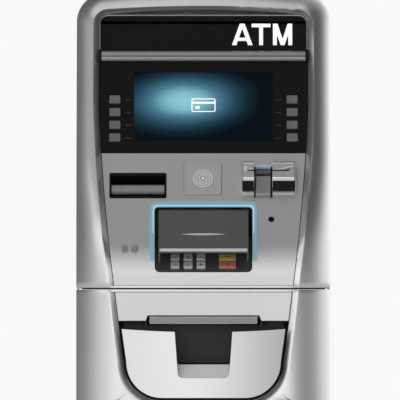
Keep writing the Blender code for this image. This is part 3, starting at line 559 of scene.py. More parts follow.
def flake_group():
    """Metallic paint: fine flake, slow tone drift and faint orange peel."""
    tree, values, where = surface_group("Metallic Flake", Paint=(0.6, 0.6, 0.6, 1), Roughness=0.35,
                                        Flake_Size=2600.0, Flake_Contrast=0.06, Peel=0.04)
    flakes = node(tree, "ShaderNodeTexVoronoi", {"Vector": where, "Scale": values["Flake Size"]})
    speck = calc(tree, "MULTIPLY", calc(tree, "SUBTRACT", flakes.outputs["Color"], 0.5),
                 values["Flake Contrast"])
    drift = ramp(tree, noise(tree, 3.0, 3, where), 0.3, 0.7, 0.975, 1.02)
    shade = scaled(tree, values["Paint"], calc(tree, "ADD", drift, speck))
    rough = calc(tree, "ADD", speck, values["Roughness"])
    return end_group(tree, shade, rough, values["Peel"], 0.0004, noise(tree, 420.0, 2, where))


def grain_group():
    """Moulded plastic: spark-eroded grain, light dust and a little uneven gloss."""
    tree, values, where = surface_group("Moulded Grain", Plastic=(0.1, 0.1, 0.1, 1), Roughness=0.45,
                                        Grain_Size=1400.0, Grain_Depth=0.15, Dust=0.04)
    pits = node(tree, "ShaderNodeTexVoronoi", {"Vector": where, "Scale": values["Grain Size"]})
    cloud = noise(tree, 24.0, 4, where)
    settled = calc(tree, "MULTIPLY", ramp(tree, cloud, 0.45, 0.75), values["Dust"])
    mixed = blended(tree, settled, values["Plastic"], DUST_COLOUR)
    rough = calc(tree, "ADD", ramp(tree, cloud, 0.3, 0.7, -0.04, 0.06), values["Roughness"])
    return end_group(tree, mixed, rough, values["Grain Depth"], 0.0002, pits.outputs["Distance"])


def brushed_group():
    """Brushed metal: long fine scratches along X and a few cloudy stains."""
    tree, values, where = surface_group("Brushed Grain", Metal=(0.6, 0.6, 0.6, 1), Roughness=0.3,
                                        Grain_Depth=0.1)
    lines = noise(tree, 60.0, 4, where, (1.0, 60.0, 60.0))
    stain = ramp(tree, noise(tree, 14.0, 3, where), 0.3, 0.7, 0.92, 1.04)
    rough = calc(tree, "ADD", ramp(tree, lines, 0.3, 0.7, -0.06, 0.08), values["Roughness"])
    return end_group(tree, scaled(tree, values["Metal"], stain), rough, values["Grain Depth"],
                     0.0001, lines)


def paint(colour, roughness, metallic, peel=0.04, **shader):
    values = {"Paint": rgba(colour), "Roughness": roughness, "Peel": peel}
    return flake_group, values, {"Metallic": metallic, **shader}


def plastic(colour, roughness, depth, dust=0.04, size=1400.0, **shader):
    values = {"Plastic": rgba(colour), "Roughness": roughness, "Grain Size": size,
              "Grain Depth": depth, "Dust": dust}
    return grain_group, values, shader


def metal(colour, roughness, metallic, depth=0.1):
    values = {"Metal": rgba(colour), "Roughness": roughness, "Grain Depth": depth}
    return brushed_group, values, {"Metallic": metallic}


def lit(colour, glow, strength):
    """Plain moulded material that glows."""
    return plastic(colour, 0.3, 0.0, 0.0, Emission_Color=rgba(glow), Emission_Strength=strength)


LOOKS = {
    "black_gloss": plastic(0.009, 0.26, 0.0, 0.004, Specular_IOR_Level=0.16),
    "black_plastic": plastic(0.008, 0.4, 0.12, 0.006, Specular_IOR_Level=0.14),
    "grey_plastic": plastic(0.11, 0.4, 0.1, 0.02),
    "function_key_grey": plastic(0.19, 0.38, 0.08, 0.03),
    # Painted light: the PIN key tones are lightened, and the red and yellow made paler, to stand in for light under
    # the hood's shade.
    "key_metal": metal(0.95, 0.38, 0.1),
    "key_red": plastic((0.86, 0.3, 0.24), 0.36, 0.08, Coat_Weight=0.2),
    "key_yellow": plastic((0.9, 0.72, 0.18), 0.36, 0.08, Coat_Weight=0.2),
    "key_green": plastic((0.1, 0.42, 0.08), 0.36, 0.08, Coat_Weight=0.2),
    "key_print": plastic(0.03, 0.5, 0.0, 0.0),
    "white_sign": plastic(0.9, 0.3, 0.0, Emission_Color=rgba(1.0), Emission_Strength=0.55),
    "blue_light": lit((0.15, 0.3, 0.4), (0.5, 0.86, 1.0), 0.24),
    "soft_light": lit((0.3, 0.5, 0.6), (0.2, 0.5, 0.72), 0.35),
    "bright_light": lit((0.5, 0.75, 0.85), (0.52, 0.86, 1.0), 0.36),
    "safe_steel": plastic(0.1, 0.5, 0.5, 0.05, 520.0, Metallic=0.1),
    "bare_steel": metal(0.58, 0.28, 1.0),
    "module_grey": metal(0.42, 0.45, 0.8, 0.05),
    "dark_rubber": plastic(0.02, 0.7, 0.2, 0.03),
    "printed_mark": plastic(0.055, 0.4, 0.0, 0.0),
    "paper": plastic((0.82, 0.8118, 0.7954), 0.8, 0.25, 0.0, 900.0),
    # Painted shade: the brow's silver paint is darkened to grey, standing in for the shade on the bar.
    "brow_paint": paint((0.3, 0.3, 0.305), 0.26, 0.85),
    "receipt_lip_grey": plastic(0.3, 0.32, 0.05, 0.01),
    "reader_tile": paint(0.62, 0.42, 0.6),
    # Painted glow: the printed rings and dot glow faintly though no lamp lights them.
    "reader_print": plastic(0.9, 0.5, 0.0, 0.0, Emission_Color=rgba(0.9), Emission_Strength=0.12),
    "bright_bezel": paint(0.68, 0.32, 0.85, Coat_Weight=0.3),
    # Painted shade: the tongue's panel paint is darkened, standing in for the shade in the channel between the lobes.
    "card_tongue": paint((0.36, 0.36, 0.37), 0.42, 0.8),
    "lip_bright": metal(0.78, 0.3, 0.9),
    "hood_print": plastic(0.85, 0.4, 0.0, 0.0),
    # Painted light: the black duct is given a lighter grey, standing in for light that reaches its recess.
    "duct_grey": plastic(0.035, 0.45, 0.1, 0.01, Specular_IOR_Level=0.3),
    # Painted sheen: the silver floor of the tray is a near-white diffuse tone, standing in for the light it reflects.
    "tray_floor": plastic(0.95, 0.35, 0.02, 0.0),
}
SLOTS = {
    "function_key_grey": "grey_plastic", "soft_light": "blue_light", "bright_light": "blue_light",
    "dark_rubber": "black_plastic", "printed_mark": "black_plastic", "brow_paint": "silver_paint",
    "receipt_lip_grey": "grey_plastic", "reader_tile": "grey_plastic",
    "reader_print": "grey_plastic", "bright_bezel": "silver_paint", "card_tongue": "panel_paint",
    "lip_bright": "key_metal", "hood_print": "grey_plastic", "duct_grey": "black_plastic",
    "tray_floor": "silver_paint",
}


def look_of(name):
    """The row of a finish; the two paints take their colours from the panel's settings."""
    chosen = bpy.context.scene.machine_paint
    if name == "silver_paint":
        return paint(chosen.silver, chosen.silver_roughness, 0.88, Coat_Weight=0.15)
    if name == "panel_paint":
        return paint(chosen.panel, chosen.silver_roughness + 0.06, 0.85, 0.03)
    return LOOKS[name]


def finish(name):
    """The material of that name: a Principled shader fed by one of the groups, made once."""
    if name in FINISHES:
        return FINISHES[name]
    made = FINISHES[name] = bpy.data.materials.new(name + "_finish")
    made.use_nodes = True
    tree = made.node_tree
    shader = tree.nodes["Principled BSDF"]
    if name == "screen":
        return screen_glow(made, tree, shader)
    group, values, settings = look_of(name)
    if group not in GROUPS:
        GROUPS[group] = group()
    placed = node(tree, "ShaderNodeGroup", node_tree=GROUPS[group])
    for key, value in values.items():
        placed.inputs[key].default_value = value
    for label, key in (("Color", "Base Color"), ("Roughness",) * 2, ("Normal",) * 2):
        tree.links.new(placed.outputs[label], shader.inputs[key])
    shader.inputs["Coat Roughness"].default_value = 0.08
    for key, value in settings.items():
        shader.inputs[key.replace("_", " ")].default_value = value
    return made


def screen_glow(made, tree, shader):
    """Display picture: a soft blue light left of centre that fades to a dark edge."""
    where = node(tree, "ShaderNodeTexCoord").outputs["Object"]
    centre = FACE @ Vector((-29.0, 0, face_v(1218.5)))
    moved = node(tree, "ShaderNodeMapping", {"Vector": where, "Location": centre * MM,
                                             "Scale": (0.122, 10.0, 0.058)}, vector_type="TEXTURE")
    span = node(tree, "ShaderNodeVectorMath", {0: moved.outputs[0]}, operation="LENGTH")
    rays = ramp(tree, noise(tree, 9.0, 2, where, (0.5, 1.2, 1.2)), 0.3, 0.7, -0.05, 0.05)
    reach = calc(tree, "ADD", span.outputs["Value"], rays)
    picture = node(tree, "ShaderNodeValToRGB", {"Fac": reach})
    fill_ramp(picture, SCREEN_STOPS)
    tree.links.new(picture.outputs["Color"], shader.inputs["Emission Color"])
    for key, value in (("Emission Strength", 1.0), ("Base Color", (0.002, 0.003, 0.004, 1)),
                       ("Roughness", 0.3), ("Specular IOR Level", 0.05)):
        shader.inputs[key].default_value = value
    return made


def upright(tree, geometry):
    """Turns what lies in the ground plane to stand across the machine's front."""
    return node(tree, "GeometryNodeTransform", {"Geometry": geometry,
                                                "Rotation": (math.pi / 2, 0, 0)}).outputs[0]


def ramp(tree, value, low, high, to_low=0.0, to_high=1.0):
    made = node(tree, "ShaderNodeMapRange", {"Value": value, "From Min": low, "From Max": high,
                                             "To Min": to_low, "To Max": to_high})
    return made.outputs["Result"]


def blended(tree, share, first, second, blend_type="MIX"):
    """Colour output of a Mix node; its colour sockets are the numbered ones."""
    mixed = node(tree, "ShaderNodeMix", {0: share, 6: first, 7: second}, data_type="RGBA",
                 blend_type=blend_type)
    return mixed.outputs[2]


# ------------------------------------------------------------------ geometry node trees


def node_tree(name, **inputs):
    """An empty geometry tree with one geometry output, and its named inputs."""
    tree = bpy.data.node_groups.new(name, "GeometryNodeTree")
    tree.interface.new_socket("Geometry", in_out="OUTPUT", socket_type="NodeSocketGeometry")
    for key, default in inputs.items():
        kind = "NodeSocketInt" if isinstance(default, int) else "NodeSocketFloat"
        socket = tree.interface.new_socket(key.replace("_", " "), in_out="INPUT", socket_type=kind)
        socket.default_value = default
    return tree, tree.nodes.new("NodeGroupInput").outputs


def closing(tree, geometry, look):
    """Ends a tree in real geometry with its material set."""
    real = node(tree, "GeometryNodeRealizeInstances", {0: geometry})
    painted = node(tree, "GeometryNodeSetMaterial", {"Geometry": real.outputs[0]})
    painted.inputs["Material"].default_value = finish(look)
    node(tree, "NodeGroupOutput", {0: painted.outputs[0]})
    return tree


def grown(name, tree, place=UPRIGHT, **values):
    """Runs a geometry tree with its inputs set by identifier, and keeps the plain mesh in place."""
    holder = linked(name, bpy.data.meshes.new(name + "_seed"))
    modifier = holder.modifiers.new("pattern", "NODES")
    modifier.node_group = tree
    wanted = {key.replace("_", " "): value for key, value in values.items()}
    for item in tree.interface.items_tree:
        if item.item_type == "SOCKET" and item.in_out == "INPUT" and item.name in wanted:
            modifier[item.identifier] = wanted[item.name]
    baked(holder)
    holder.data.transform(Matrix.Scale(MM, 4) @ place @ Matrix.Scale(1 / MM, 4))
    return shaded(holder)


def row_tree(name, template, look):
    """Copies of a template along X and Z: columns, rows and their pitches are inputs."""
    tree, values = node_tree(name, Columns=4, Rows=1, Width=0.1, Height=0.0)
    grid = node(tree, "GeometryNodeMeshGrid", {"Size X": values["Width"],
                                               "Size Y": values["Height"],
                                               "Vertices X": values["Columns"],
                                               "Vertices Y": values["Rows"]})
    points = node(tree, "GeometryNodeMeshToPoints", {"Mesh": upright(tree, grid.outputs[0])})
    shape = node(tree, "GeometryNodeObjectInfo")
    shape.inputs["Object"].default_value = template
    copies = node(tree, "GeometryNodeInstanceOnPoints", {"Points": points.outputs[0],
                                                         "Instance": shape.outputs["Geometry"]})
    return closing(tree, copies.outputs[0], look)


def perforation_tree(look):
    """Short cups on a square grid, kept within a circle: the holes of a speaker grille."""
    tree, values = node_tree("Speaker Holes", Radius=0.006, Hole_Radius=0.0006, Across=7)
    span = calc(tree, "MULTIPLY", values["Radius"], 2.0)
    grid = node(tree, "GeometryNodeMeshGrid", {"Size X": span, "Size Y": span,
                                               "Vertices X": values["Across"],
                                               "Vertices Y": values["Across"]})
    place = node(tree, "GeometryNodeInputPosition")
    far = node(tree, "ShaderNodeVectorMath", {0: place.outputs[0]}, operation="LENGTH")
    outside = node(tree, "FunctionNodeCompare", {0: far.outputs["Value"], 1: values["Radius"]},
                   operation="GREATER_THAN")
    points = node(tree, "GeometryNodeMeshToPoints", {"Mesh": grid.outputs[0]})
    kept = node(tree, "GeometryNodeDeleteGeometry", {"Geometry": points.outputs[0],
                                                     "Selection": outside.outputs[0]})
    cup = node(tree, "GeometryNodeMeshCylinder", {"Vertices": 10, "Depth": 0.0004,
                                                  "Radius": values["Hole Radius"]})
    copies = node(tree, "GeometryNodeInstanceOnPoints", {"Points": kept.outputs[0],
                                                         "Instance": cup.outputs["Mesh"]})
    return closing(tree, upright(tree, copies.outputs[0]), look)


def tick_tree(look):
    """Short bars round a circle that faces -Y: the graduations of a dial."""
    tree, values = node_tree("Dial Ticks", Count=50, Radius=0.02, Length=0.003)
    ring = node(tree, "GeometryNodeMeshCircle", {"Vertices": values["Count"],
                                                 "Radius": values["Radius"]})
    points = node(tree, "GeometryNodeMeshToPoints", {"Mesh": ring.outputs[0]})
    place = node(tree, "GeometryNodeInputPosition")
    facing = node(tree, "FunctionNodeAlignRotationToVector", {"Vector": place.outputs[0]}, axis="X")
    size = node(tree, "ShaderNodeCombineXYZ", {"X": values["Length"], "Y": 0.0004, "Z": 0.0003})
    bar = node(tree, "GeometryNodeMeshCube", {"Size": size.outputs[0]})
    copies = node(tree, "GeometryNodeInstanceOnPoints", {"Points": points.outputs[0],
                                                         "Instance": bar.outputs["Mesh"],
                                                         "Rotation": facing.outputs[0]})
    return closing(tree, upright(tree, copies.outputs[0]), look)


def screw_head():
    """A pan-head screw with a cross recess, seated on y = 0 and facing -Y."""
    head = turned("screw_head", [(0, 0.3), (4.2, 0.3), (4.2, -0.8), (3.6, -1.7), (2.2, -2.3),
                                 (0, -2.4)], UPRIGHT, 20)
    for i in (0, 1):
        wide, tall = ((0.45, 2.2), (2.2, 0.45))[i]
        cut(head, block(f"recess_{i}", (-wide, -4, -tall), (wide, -1.2, tall)))
    head.data.materials.clear()
    return head


def grown_row(name, template, look, place, columns, rows, width, height):
    """A grid of copies of a template, which is then removed."""
    tree = row_tree(name + "_pattern", template, look)
    made = grown(name, tree, place, Columns=columns, Rows=rows, Width=width * MM,
                 Height=height * MM)
    bpy.data.objects.remove(template)
    return made


# ------------------------------------------------------------------ front shells


def front_contour(low_z, count=40):
    """Outer and inner points from the right seam, over the top, to the left seam."""
    outer, inner = [], []
    corner_x, outline_x = SHIELD_HALF - SHIELD_CORNER, HALF_WIDTH - OUTLINE_CORNER
    corner_z = SHIELD_TOP_Z - SHIELD_TOP_SAG - SHIELD_CORNER
    outline_z = HEIGHT - TOP_SAG - OUTLINE_CORNER
    for i in range(count):
        share = i / count
        z = low_z + (corner_z - low_z) * share
        inner.append((shield_half(z), z))
        outer.append((HALF_WIDTH, z + (outline_z - corner_z) * share**4))
    inner += arc((corner_x, corner_z), SHIELD_CORNER, 0, 90, 14)
    outer += arc((outline_x, outline_z), OUTLINE_CORNER, 0, 90, 14)
    for i in range(13, -1, -1):
        share = i / 14
        inner.append((corner_x * share, SHIELD_TOP_Z - SHIELD_TOP_SAG * share**2))
        outer.append((outline_x * share, HEIGHT - TOP_SAG * share**2))
    return mirror_pairs(outer, inner)


def foot_contour(high_z, count=18):
    """Outer and inner points from the right seam, under the tray, to the left seam."""
    outer, inner = [], []
    corner_z = SHIELD_BOTTOM_Z + SHIELD_BOTTOM_CORNER
    for i in range(count):
        z = high_z + (corner_z - high_z) * i / count
        inner.append((shield_half(z), z))
        outer.append((HALF_WIDTH, z))
    sweep = arc((SHIELD_BOTTOM_HALF, corner_z), SHIELD_BOTTOM_CORNER, 0, -90, 20)
    sweep[0] = (shield_half(corner_z), corner_z)
    inner += sweep
    for i in range(11):
        outer.append((HALF_WIDTH, corner_z + (BEZEL_BOTTOM_Z - corner_z) * i / 10))
    for i in range(1, 11):
        outer.append((HALF_WIDTH + (SHIELD_BOTTOM_HALF - HALF_WIDTH) * i / 10, BEZEL_BOTTOM_Z))
    for i in range(7, -1, -1):
        inner.append((SHIELD_BOTTOM_HALF * i / 8, SHIELD_BOTTOM_Z))
        outer.append((SHIELD_BOTTOM_HALF * i / 8, BEZEL_BOTTOM_Z))
    return mirror_pairs(outer, inner)


def mirror_pairs(outer, inner):
    outer = outer + [(-x, z) for x, z in reversed(outer[:-1])]
    inner = inner + [(-x, z) for x, z in reversed(inner[:-1])]
    return outer, inner


def moved_out(line, distance):
    """A line shifted to its right-hand side, square to its own direction."""
    shifted = []
    for i, (x, z) in enumerate(line):
        before, after = line[max(0, i - 1)], line[min(len(line) - 1, i + 1)]
        along = Vector((after[0] - before[0], after[1] - before[1])).normalized()
        side = Vector((along.y, -along.x))
        if i in (0, len(line) - 1):
            side = Vector((1 if side.x > 0 else -1, 0))
        shifted.append((x + side.x * distance, z + side.y * distance))
    return shifted


def roll_off(inset, radius):
    """How far an edge of that radius has fallen back at a distance in from the outline."""
    if inset >= radius:
        return 0.0
    return radius - math.sqrt(max(0.0, radius**2 - (radius - max(0.0, inset)) ** 2))


def upper_depth(flat, inset):
    return rim_y(flat.y) + roll_off(inset, roll_radius(flat.y))


def foot_depth(flat, inset):
    side = roll_off(HALF_WIDTH - abs(flat.x), roll_radius(flat.y))
    return rim_y(flat.y) + side + roll_off(flat.y - BEZEL_BOTTOM_Z, 5.0)


def wall_profile(outline, crest, inner, back_y, depth, radius):
    """Skin of one section as (distance in from the outline, depth), rear edge to lip."""
    span, chamfer = (crest - outline).length, (inner - crest).length

    def front(inset):
        return depth(outline.lerp(crest, inset / span), inset)

    profile = [(0.0, back_y), (0.0, back_y - 12.0), (0.0, front(0.0) + 4.0)]
    for i in range(15):
        inset = min(radius * (1 - math.cos(math.pi / 2 * i / 14)), span - 2.6 + 0.01 * i)
        profile.append((inset, front(inset)))
    flat = profile[-1][0]
    middle = flat + 0.5 * max(0.0, span - 2.4 - flat)
    crest_y, foot_y = front(span), panel_y(inner.y)
    fall = foot_y - crest_y
    return profile + [(middle, front(middle)), (span - 2.2, front(span - 2.2) + 0.02),
                      (span - 0.9, crest_y + 0.35), (span + 0.5, crest_y + 0.14 * fall),
                      (span + chamfer * 0.55, crest_y + 0.62 * fall),
                      (span + chamfer - 0.5, foot_y - 0.05 * fall), (span + chamfer, foot_y + 0.6),
                      (span + chamfer, foot_y + SHIELD_LIP)]


def shifted_profile(profile, distance):
    """The profile moved to the inside of the wall."""
    moved = []
    for i, point in enumerate(profile):
        before, after = profile[max(0, i - 1)], profile[min(len(profile) - 1, i + 1)]
        along = Vector(after) - Vector(before)
        along.normalize()
        moved.append((point[0] - along.y * distance, point[1] + along.x * distance))
    return moved


def shell_section(outline, crest, inner, back_y, depth, radius, ease):
    """One closed loop of 3D points round the wall at a station of the contour."""
    span = (crest - outline).length
    inward, onward = (crest - outline).normalized(), (inner - crest).normalized()
    profile = wall_profile(outline, crest, inner, back_y, depth, radius)
    skin = shifted_profile(profile, ease) if ease else profile
    lining = shifted_profile(profile, SKIN)
    loop = []
    for inset, y in skin + lining[::-1]:
        flat = outline + inward * inset
        if inset > span:
            flat = crest + onward * (inset - span)
        loop.append((flat.x, y, flat.y))
    return loop


def lofted_shell(name, contour, back_y, depth):
    """Walls lofted along the contour, with softly rounded ends at the seam."""
    outer, inner = contour
    rising = outer[1][1] > outer[0][1]
    crest = moved_out(inner, CHAMFER if rising else -CHAMFER)
    last = len(outer) - 1
    stations = []
    for i in range(last + 1):
        at = [Vector(line[i]) for line in (outer, crest, inner)]
        bottom = at[0].y < BEZEL_BOTTOM_Z + 0.5 and abs(at[0].x) < HALF_WIDTH - 0.5
        radius = 5.0 if bottom else roll_radius(at[0].y)
        eases = [(0.0, 0.0)]
        if i in (0, last):
            eases = [(0.5, 0.0), (0.15, 0.15), (0.0, 0.5)][:: 1 if i == 0 else -1]
        for ease, rise in eases:
            lift = Vector((0, rise if rising else -rise))
            stations.append(shell_section(at[0] + lift, at[1] + lift, at[2] + lift, back_y, depth,
                                          radius, ease))
    count = len(stations[0])
    points, faces = [p for station in stations for p in station], []
    for k in range(len(stations) - 1):
        for i in range(count):
            j = (i + 1) % count
            a, b = k * count, (k + 1) * count
            faces.append((a + i, a + j, b + j, b + i))
    faces.append(tuple(range(count)))
    faces.append(tuple(range((len(stations) - 1) * count, len(stations) * count)))
    return mesh_piece(name, points, faces, merge=0)


def seam_plate(name, z0, z1, back_y):
    """Plate that closes a shell at the seam, inside its walls."""
    z = (z0 + z1) / 2
    radius, half = roll_radius(z), HALF_WIDTH - 1.2
    edge = [(half, back_y)]
    for i in range(13):
        angle = math.pi / 2 * i / 12
        edge.append((min(half, HALF_WIDTH - radius * (1 - math.cos(angle))),
                     rim_y(z) + radius * (1 - math.sin(angle)) + 1.2))
    return prism(name, mirrored(edge), "Z", z0, z1)


def make_fascia_shell():
    shell = lofted_shell("fascia_skin", front_contour(SEAM[1]), FASCIA_BACK_Y, upper_depth)
    shaded(cut(shell, rod("lock_hole", CAM_LOCK, "X", 9.6, 185, 210)), SHELL_SHARP)
    plate = seam_plate("fascia_floor", SEAM[1] + 0.2, SEAM[1] + SKIN, FASCIA_BACK_Y - 1)
    with_finish(shell, eased(plate, 0.0))
    for i, z in enumerate((1318.0, 972.0)):
        lug = block(f"fascia_lug_{i}", (-198.5, -13, z), (-178, 1, z + 8))
        cut(lug, rod(f"lug_bore_{i}", FASCIA_PIN, "Z", 4.4, z - 5, z + 15))
        with_finish(shell, eased(lug, 0.8))
    return dressed(shell, "silver_paint", "fascia", "fascia_shell")


def make_seam_gasket():
    """Rubber strip that closes the gap under the fascia, from side to front to side."""
    outline = [(-191, -204), (191, -204), (191, 4), (186, 4), (186, -198), (-186, -198), (-186, 4),
               (-191, 4)]
    gasket = prism("seam_gasket", outline, "Z", SEAM[0] + 0.5, SEAM[1] + 0.8)
    done(gasket, 0.4, "dark_rubber", "fascia")


def make_lower_bezel():
    shell = lofted_shell("tray_surround", foot_contour(SEAM[0]), DOOR_BACK_Y, foot_depth)
    shaded(shell, SHELL_SHARP)
    plate = seam_plate("surround_lid", SEAM[0] - SKIN, SEAM[0] - 0.2, DOOR_BACK_Y - 1)
    with_finish(shell, eased(plate, 0.0))
    return dressed(shell, "silver_paint", "safe_door_group", "lower_bezel")


# ------------------------------------------------------------------ sign, brow and display


def face_plate(name, z0, z1, depth, side_gap=0.8, corner=0.0):
    """A plate on the inclined face that follows the shield's sides."""
    v0, v1 = face_v(z0), face_v(z1)
    right = [(shield_half(z0 + (z1 - z0) * i / 6) - side_gap, v0 + (v1 - v0) * i / 6)
             for i in range(6)]
    x = shield_half(z1) - side_gap
    right += arc((x - corner, v1 - corner), corner, 0, 90, 8) if corner else [(x, v1)]
    return face_prism(name, mirrored(right), depth[0], depth[1])


def trim_line(z0, gap, corner):
    """Right foot, over the top and down to the left foot of the sign's edge."""
    x, top = SHIELD_HALF - gap, face_v(TRIM_TOP_Z - gap)
    half = [(x, face_v(z0))] + arc((x - corner, top - corner), corner, 0, 90, 10)
    return half + [(-a, v) for a, v in reversed(half)]


def letter_strokes(x0, x1, v0, v1):
    """Plain block capitals A, T and M as bars."""
    tall, bar, cell = v1 - v0, 6.2, (x1 - x0) / 3
    a0, a1 = x0, x0 + cell * 1.02
    mid = (a0 + a1) / 2
    t0, t1 = x0 + cell * 0.98, x0 + cell * 1.92
    m0, m1 = x0 + cell * 2.04, x1
    low = v0 + tall * 0.2
    peak = (m0 + m1) / 2
    return (
        ([(a0, v0), (a0 + bar + 0.8, v0), (mid + 2.4, v1), (mid - 3.8, v1)],
         [(a1 - bar - 0.8, v0), (a1, v0), (mid + 3.8, v1), (mid - 2.4, v1)],
         rectangle(a0 + 6, a1 - 6, low, low + bar * 0.8)),
        (rectangle(t0, t1, v1 - bar * 0.92, v1),
         rectangle((t0 + t1 - bar) / 2, (t0 + t1 + bar) / 2, v0, v1 - 1)),
        (rectangle(m0, m0 + bar, v0, v1), rectangle(m1 - bar, m1, v0, v1),
         [(m0 + 0.5, v1), (peak - 3, v0), (peak + 3, v0), (m0 + bar + 1, v1)],
         [(m1 - bar - 1, v1), (peak - 3, v0), (peak + 3, v0), (m1 - 0.5, v1)]))


def make_sign():
    plate = eased(face_plate("sign_plate", *SIGN_Z, (0.0, 5.0), corner=15.0), 0.8)
    dressed(plate, "black_gloss", "fascia", "sign_face")
    width = bpy.context.scene.machine_sizes.trim_width / MM
    outer, inner = trim_line(1302.0, 0.75, 15.0), trim_line(1302.0, 0.75 + width, 15.0 - width)
    trim = face_prism("sign_trim", outer + inner[::-1], -0.9, 0.6)
    done(trim, 0.3, "bare_steel", "fascia")
    v0, v1 = map(face_v, LETTER_Z)
    for label, strokes in zip("ATM", letter_strokes(45.0, 140.0, v0, v1)):
        bars = [face_prism(f"bar_{label}_{i}", outline, -1.6, 0.6)
                for i, outline in enumerate(strokes)]
        letter = eased(join_solid(bars[0], *bars[1:]), 0.45)
        letter.name = f"sign_letter_{label}"
        dressed(letter, "white_sign", "fascia", "sign_letters")


def make_brow():
    """Half-round bar across the face, with small dark end caps."""
    v0, v1 = map(face_v, BROW_Z)
    middle, depth = v0 + 6.5, 8.5
    profile = [(4.0, v0 + 0.9)]
    for i in range(-12, 17):
        angle = math.radians(5 * i)
        rise = (middle - v0 if i < 0 else v1 - middle) * math.sin(angle)
        profile.append((1.5 - depth * math.cos(angle), middle + rise))
    profile += [(1.0, v1), (4.0, v1)]
    bar = eased(face_bar("brow_rail", profile, -161.0, 161.0), 0.6)
    # The brow's darkened paint is painted shade.
    dressed(bar, "brow_paint", "fascia", "brow_bar")
    for side, label in SIDES:
        low, high = sorted((side * 161.2, side * 164.2))
        cap = eased(face_bar(f"brow_cap_{label}", profile, low, high), 0.9)
        dressed(cap, "black_plastic", "fascia")


def make_display():
    bezel = face_plate("display_surround", *DISPLAY_Z, (0.0, 5.0))
    v0, v1 = map(face_v, WINDOW_Z)
    cut(bezel, face_prism("window", rounded_rectangle(-109.5, 109.5, v0, v1, 1.2), -3, 9))
    for side in (-1, 1):
        for z in FUNCTION_KEY_Z:
            x, v = side * FUNCTION_KEY_X, face_v(z)
            hole = rounded_rectangle(x - 9.1, x + 9.1, v - 7.4, v + 7.4, 1.6)
            cut(bezel, face_prism("key_hole", hole, -3, 9))
    done(bezel, 0.5, "black_plastic", "fascia", "display_bezel")
    glass = face_prism("display_picture", rounded_rectangle(-109.1, 109.1, v0 + 0.4, v1 - 0.4, 1.0),
                       0.9, 5.2)
    done(glass, 0.3, "screen", "fascia", "display_screen")
    housing = block("display_housing", (-116.5, 5.5, v0 - 7), (116.5, 24, v1 + 7), FACE)
    done(housing, 1.2, "module_grey", "fascia")
    make_pictogram()
    make_function_keys()
    for side, label in SIDES:
        template = block("marker", (-4.6, -0.12, -0.55), (4.6, 0.1, 0.55))
        dashes = grown_row(f"key_marker_{label}", template, "printed_mark",
                           FACE @ Matrix.Translation((side * 118.0, 0.0, face_v(1192.0))), 1, 4,
                           0.0, face_v(1222) - face_v(1162))
        dressed(dashes, "printed_mark", "fascia")


def make_pictogram():
    """A plain bank card in outline with a stripe, lit on the screen."""
    v, half = face_v(1214.0), bpy.context.scene.machine_sizes.pictogram_width / MM / 2
    tall = half * 0.63
    card = face_prism("picture_card", rounded_rectangle(-half, half, v - tall, v + tall, 3.2), 0.72,
                      0.92)
    cut(card, face_prism("card_inside", rounded_rectangle(1.7 - half, half - 1.7, v - tall + 1.7,
                                                          v + tall - 1.7, 2.0), 0, 3))
    stripe = face_prism("card_stripe", rectangle(1.0 - half, half - 1.0, v + 2.6, v + 6.2), 0.72,
                        0.92)
    chip = face_prism("card_chip", rounded_rectangle(6.0 - half, 13.0 - half, v - 6.6, v - 1.6,
                                                     0.9), 0.72, 0.92)
    with_finish(card, stripe, chip)
    dressed(card, "white_sign", "fascia", slot="screen")


def make_function_keys():
    for side, label in SIDES:
        for row, z in enumerate(FUNCTION_KEY_Z):
            x, v = side * FUNCTION_KEY_X, face_v(z)
            name = f"function_key_{label}_{row + 1}"
            outline = rounded_rectangle(x - 8.6, x + 8.6, v - 6.9, v + 6.9, 1.4)
            cap = face_prism(name + "_cap", outline, -2.2, 4.0)
            hollow = turned("dish", [(0, -1.75), (5.2, -1.95), (5.9, -2.6), (0, -6)],
                            FACE @ Matrix.Translation((x, 0, v)), 40)
            cut(cap, hollow)
            done(cap, 0.55, "function_key_grey", "body_" + name, name)


# ------------------------------------------------------------------ control panel and devices


def bent_sheet(name, low, high, thick, gap):
    """A sheet that follows the panel's bend between two heights."""
    bend_low = FACE_Z - PANEL_BEND * math.sin(TILT)
    heights = [low] + [bend_low + (FACE_Z - bend_low) * i / 16
                       for i in range(17)] + [1040, 1090, high]
    points, faces = [], []
    for z in heights:
        half = shield_half(z) - gap
        lean = math.atan(panel_y(z + 0.5) - panel_y(z - 0.5))
        back = (math.cos(lean) * thick, -math.sin(lean) * thick)
        y = panel_y(z)
        points += [(-half, y, z), (half, y, z)]
        points += [(half, y + back[0], z + back[1]), (-half, y + back[0], z + back[1])]
    for k in range(len(heights) - 1):
        a, b = 4 * k, 4 * (k + 1)
        faces += [(a + i, a + (i + 1) % 4, b + (i + 1) % 4, b + i) for i in range(4)]
    last = 4 * (len(heights) - 1)
    faces += [(3, 2, 1, 0), (last, last + 1, last + 2, last + 3)]
    return mesh_piece(name, points, faces)


def make_control_panel():
    panel = bent_sheet("control_plate", 930.1, 1137.7, 3.0, 0.8)

    def opening(xs, zs, radius):
        outline = rounded_rectangle(xs[0], xs[1], face_v(zs[0]), face_v(zs[1]), radius)
        cut(panel, face_prism("opening", outline, -20, 20))

    opening((-148.0, -58.0), RECEIPT_Z, 2.6)
    opening((63.0, 142.0), (1079.0, 1115.0), 3.0)
    opening((-31.0, 29.0), READER_Z, 5.0)
    cut(panel, rod("jack_opening", (JACK_X, face_v(JACK_Z)), "Y", 4.9, -20, 20, FACE))
    for x in SPEAKER_X:
        cut(panel, rod("speaker_opening", (x, SPEAKER_Z), "Y", 7.0, -300, -200))
    cut(panel, prism("pad_opening", rounded_rectangle(-PAD_HALF, PAD_HALF, 951.0, 1056.0, 8), "Y",
                     -300, -150))
    done(panel, 0.5, "panel_paint", "fascia", "control_panel")


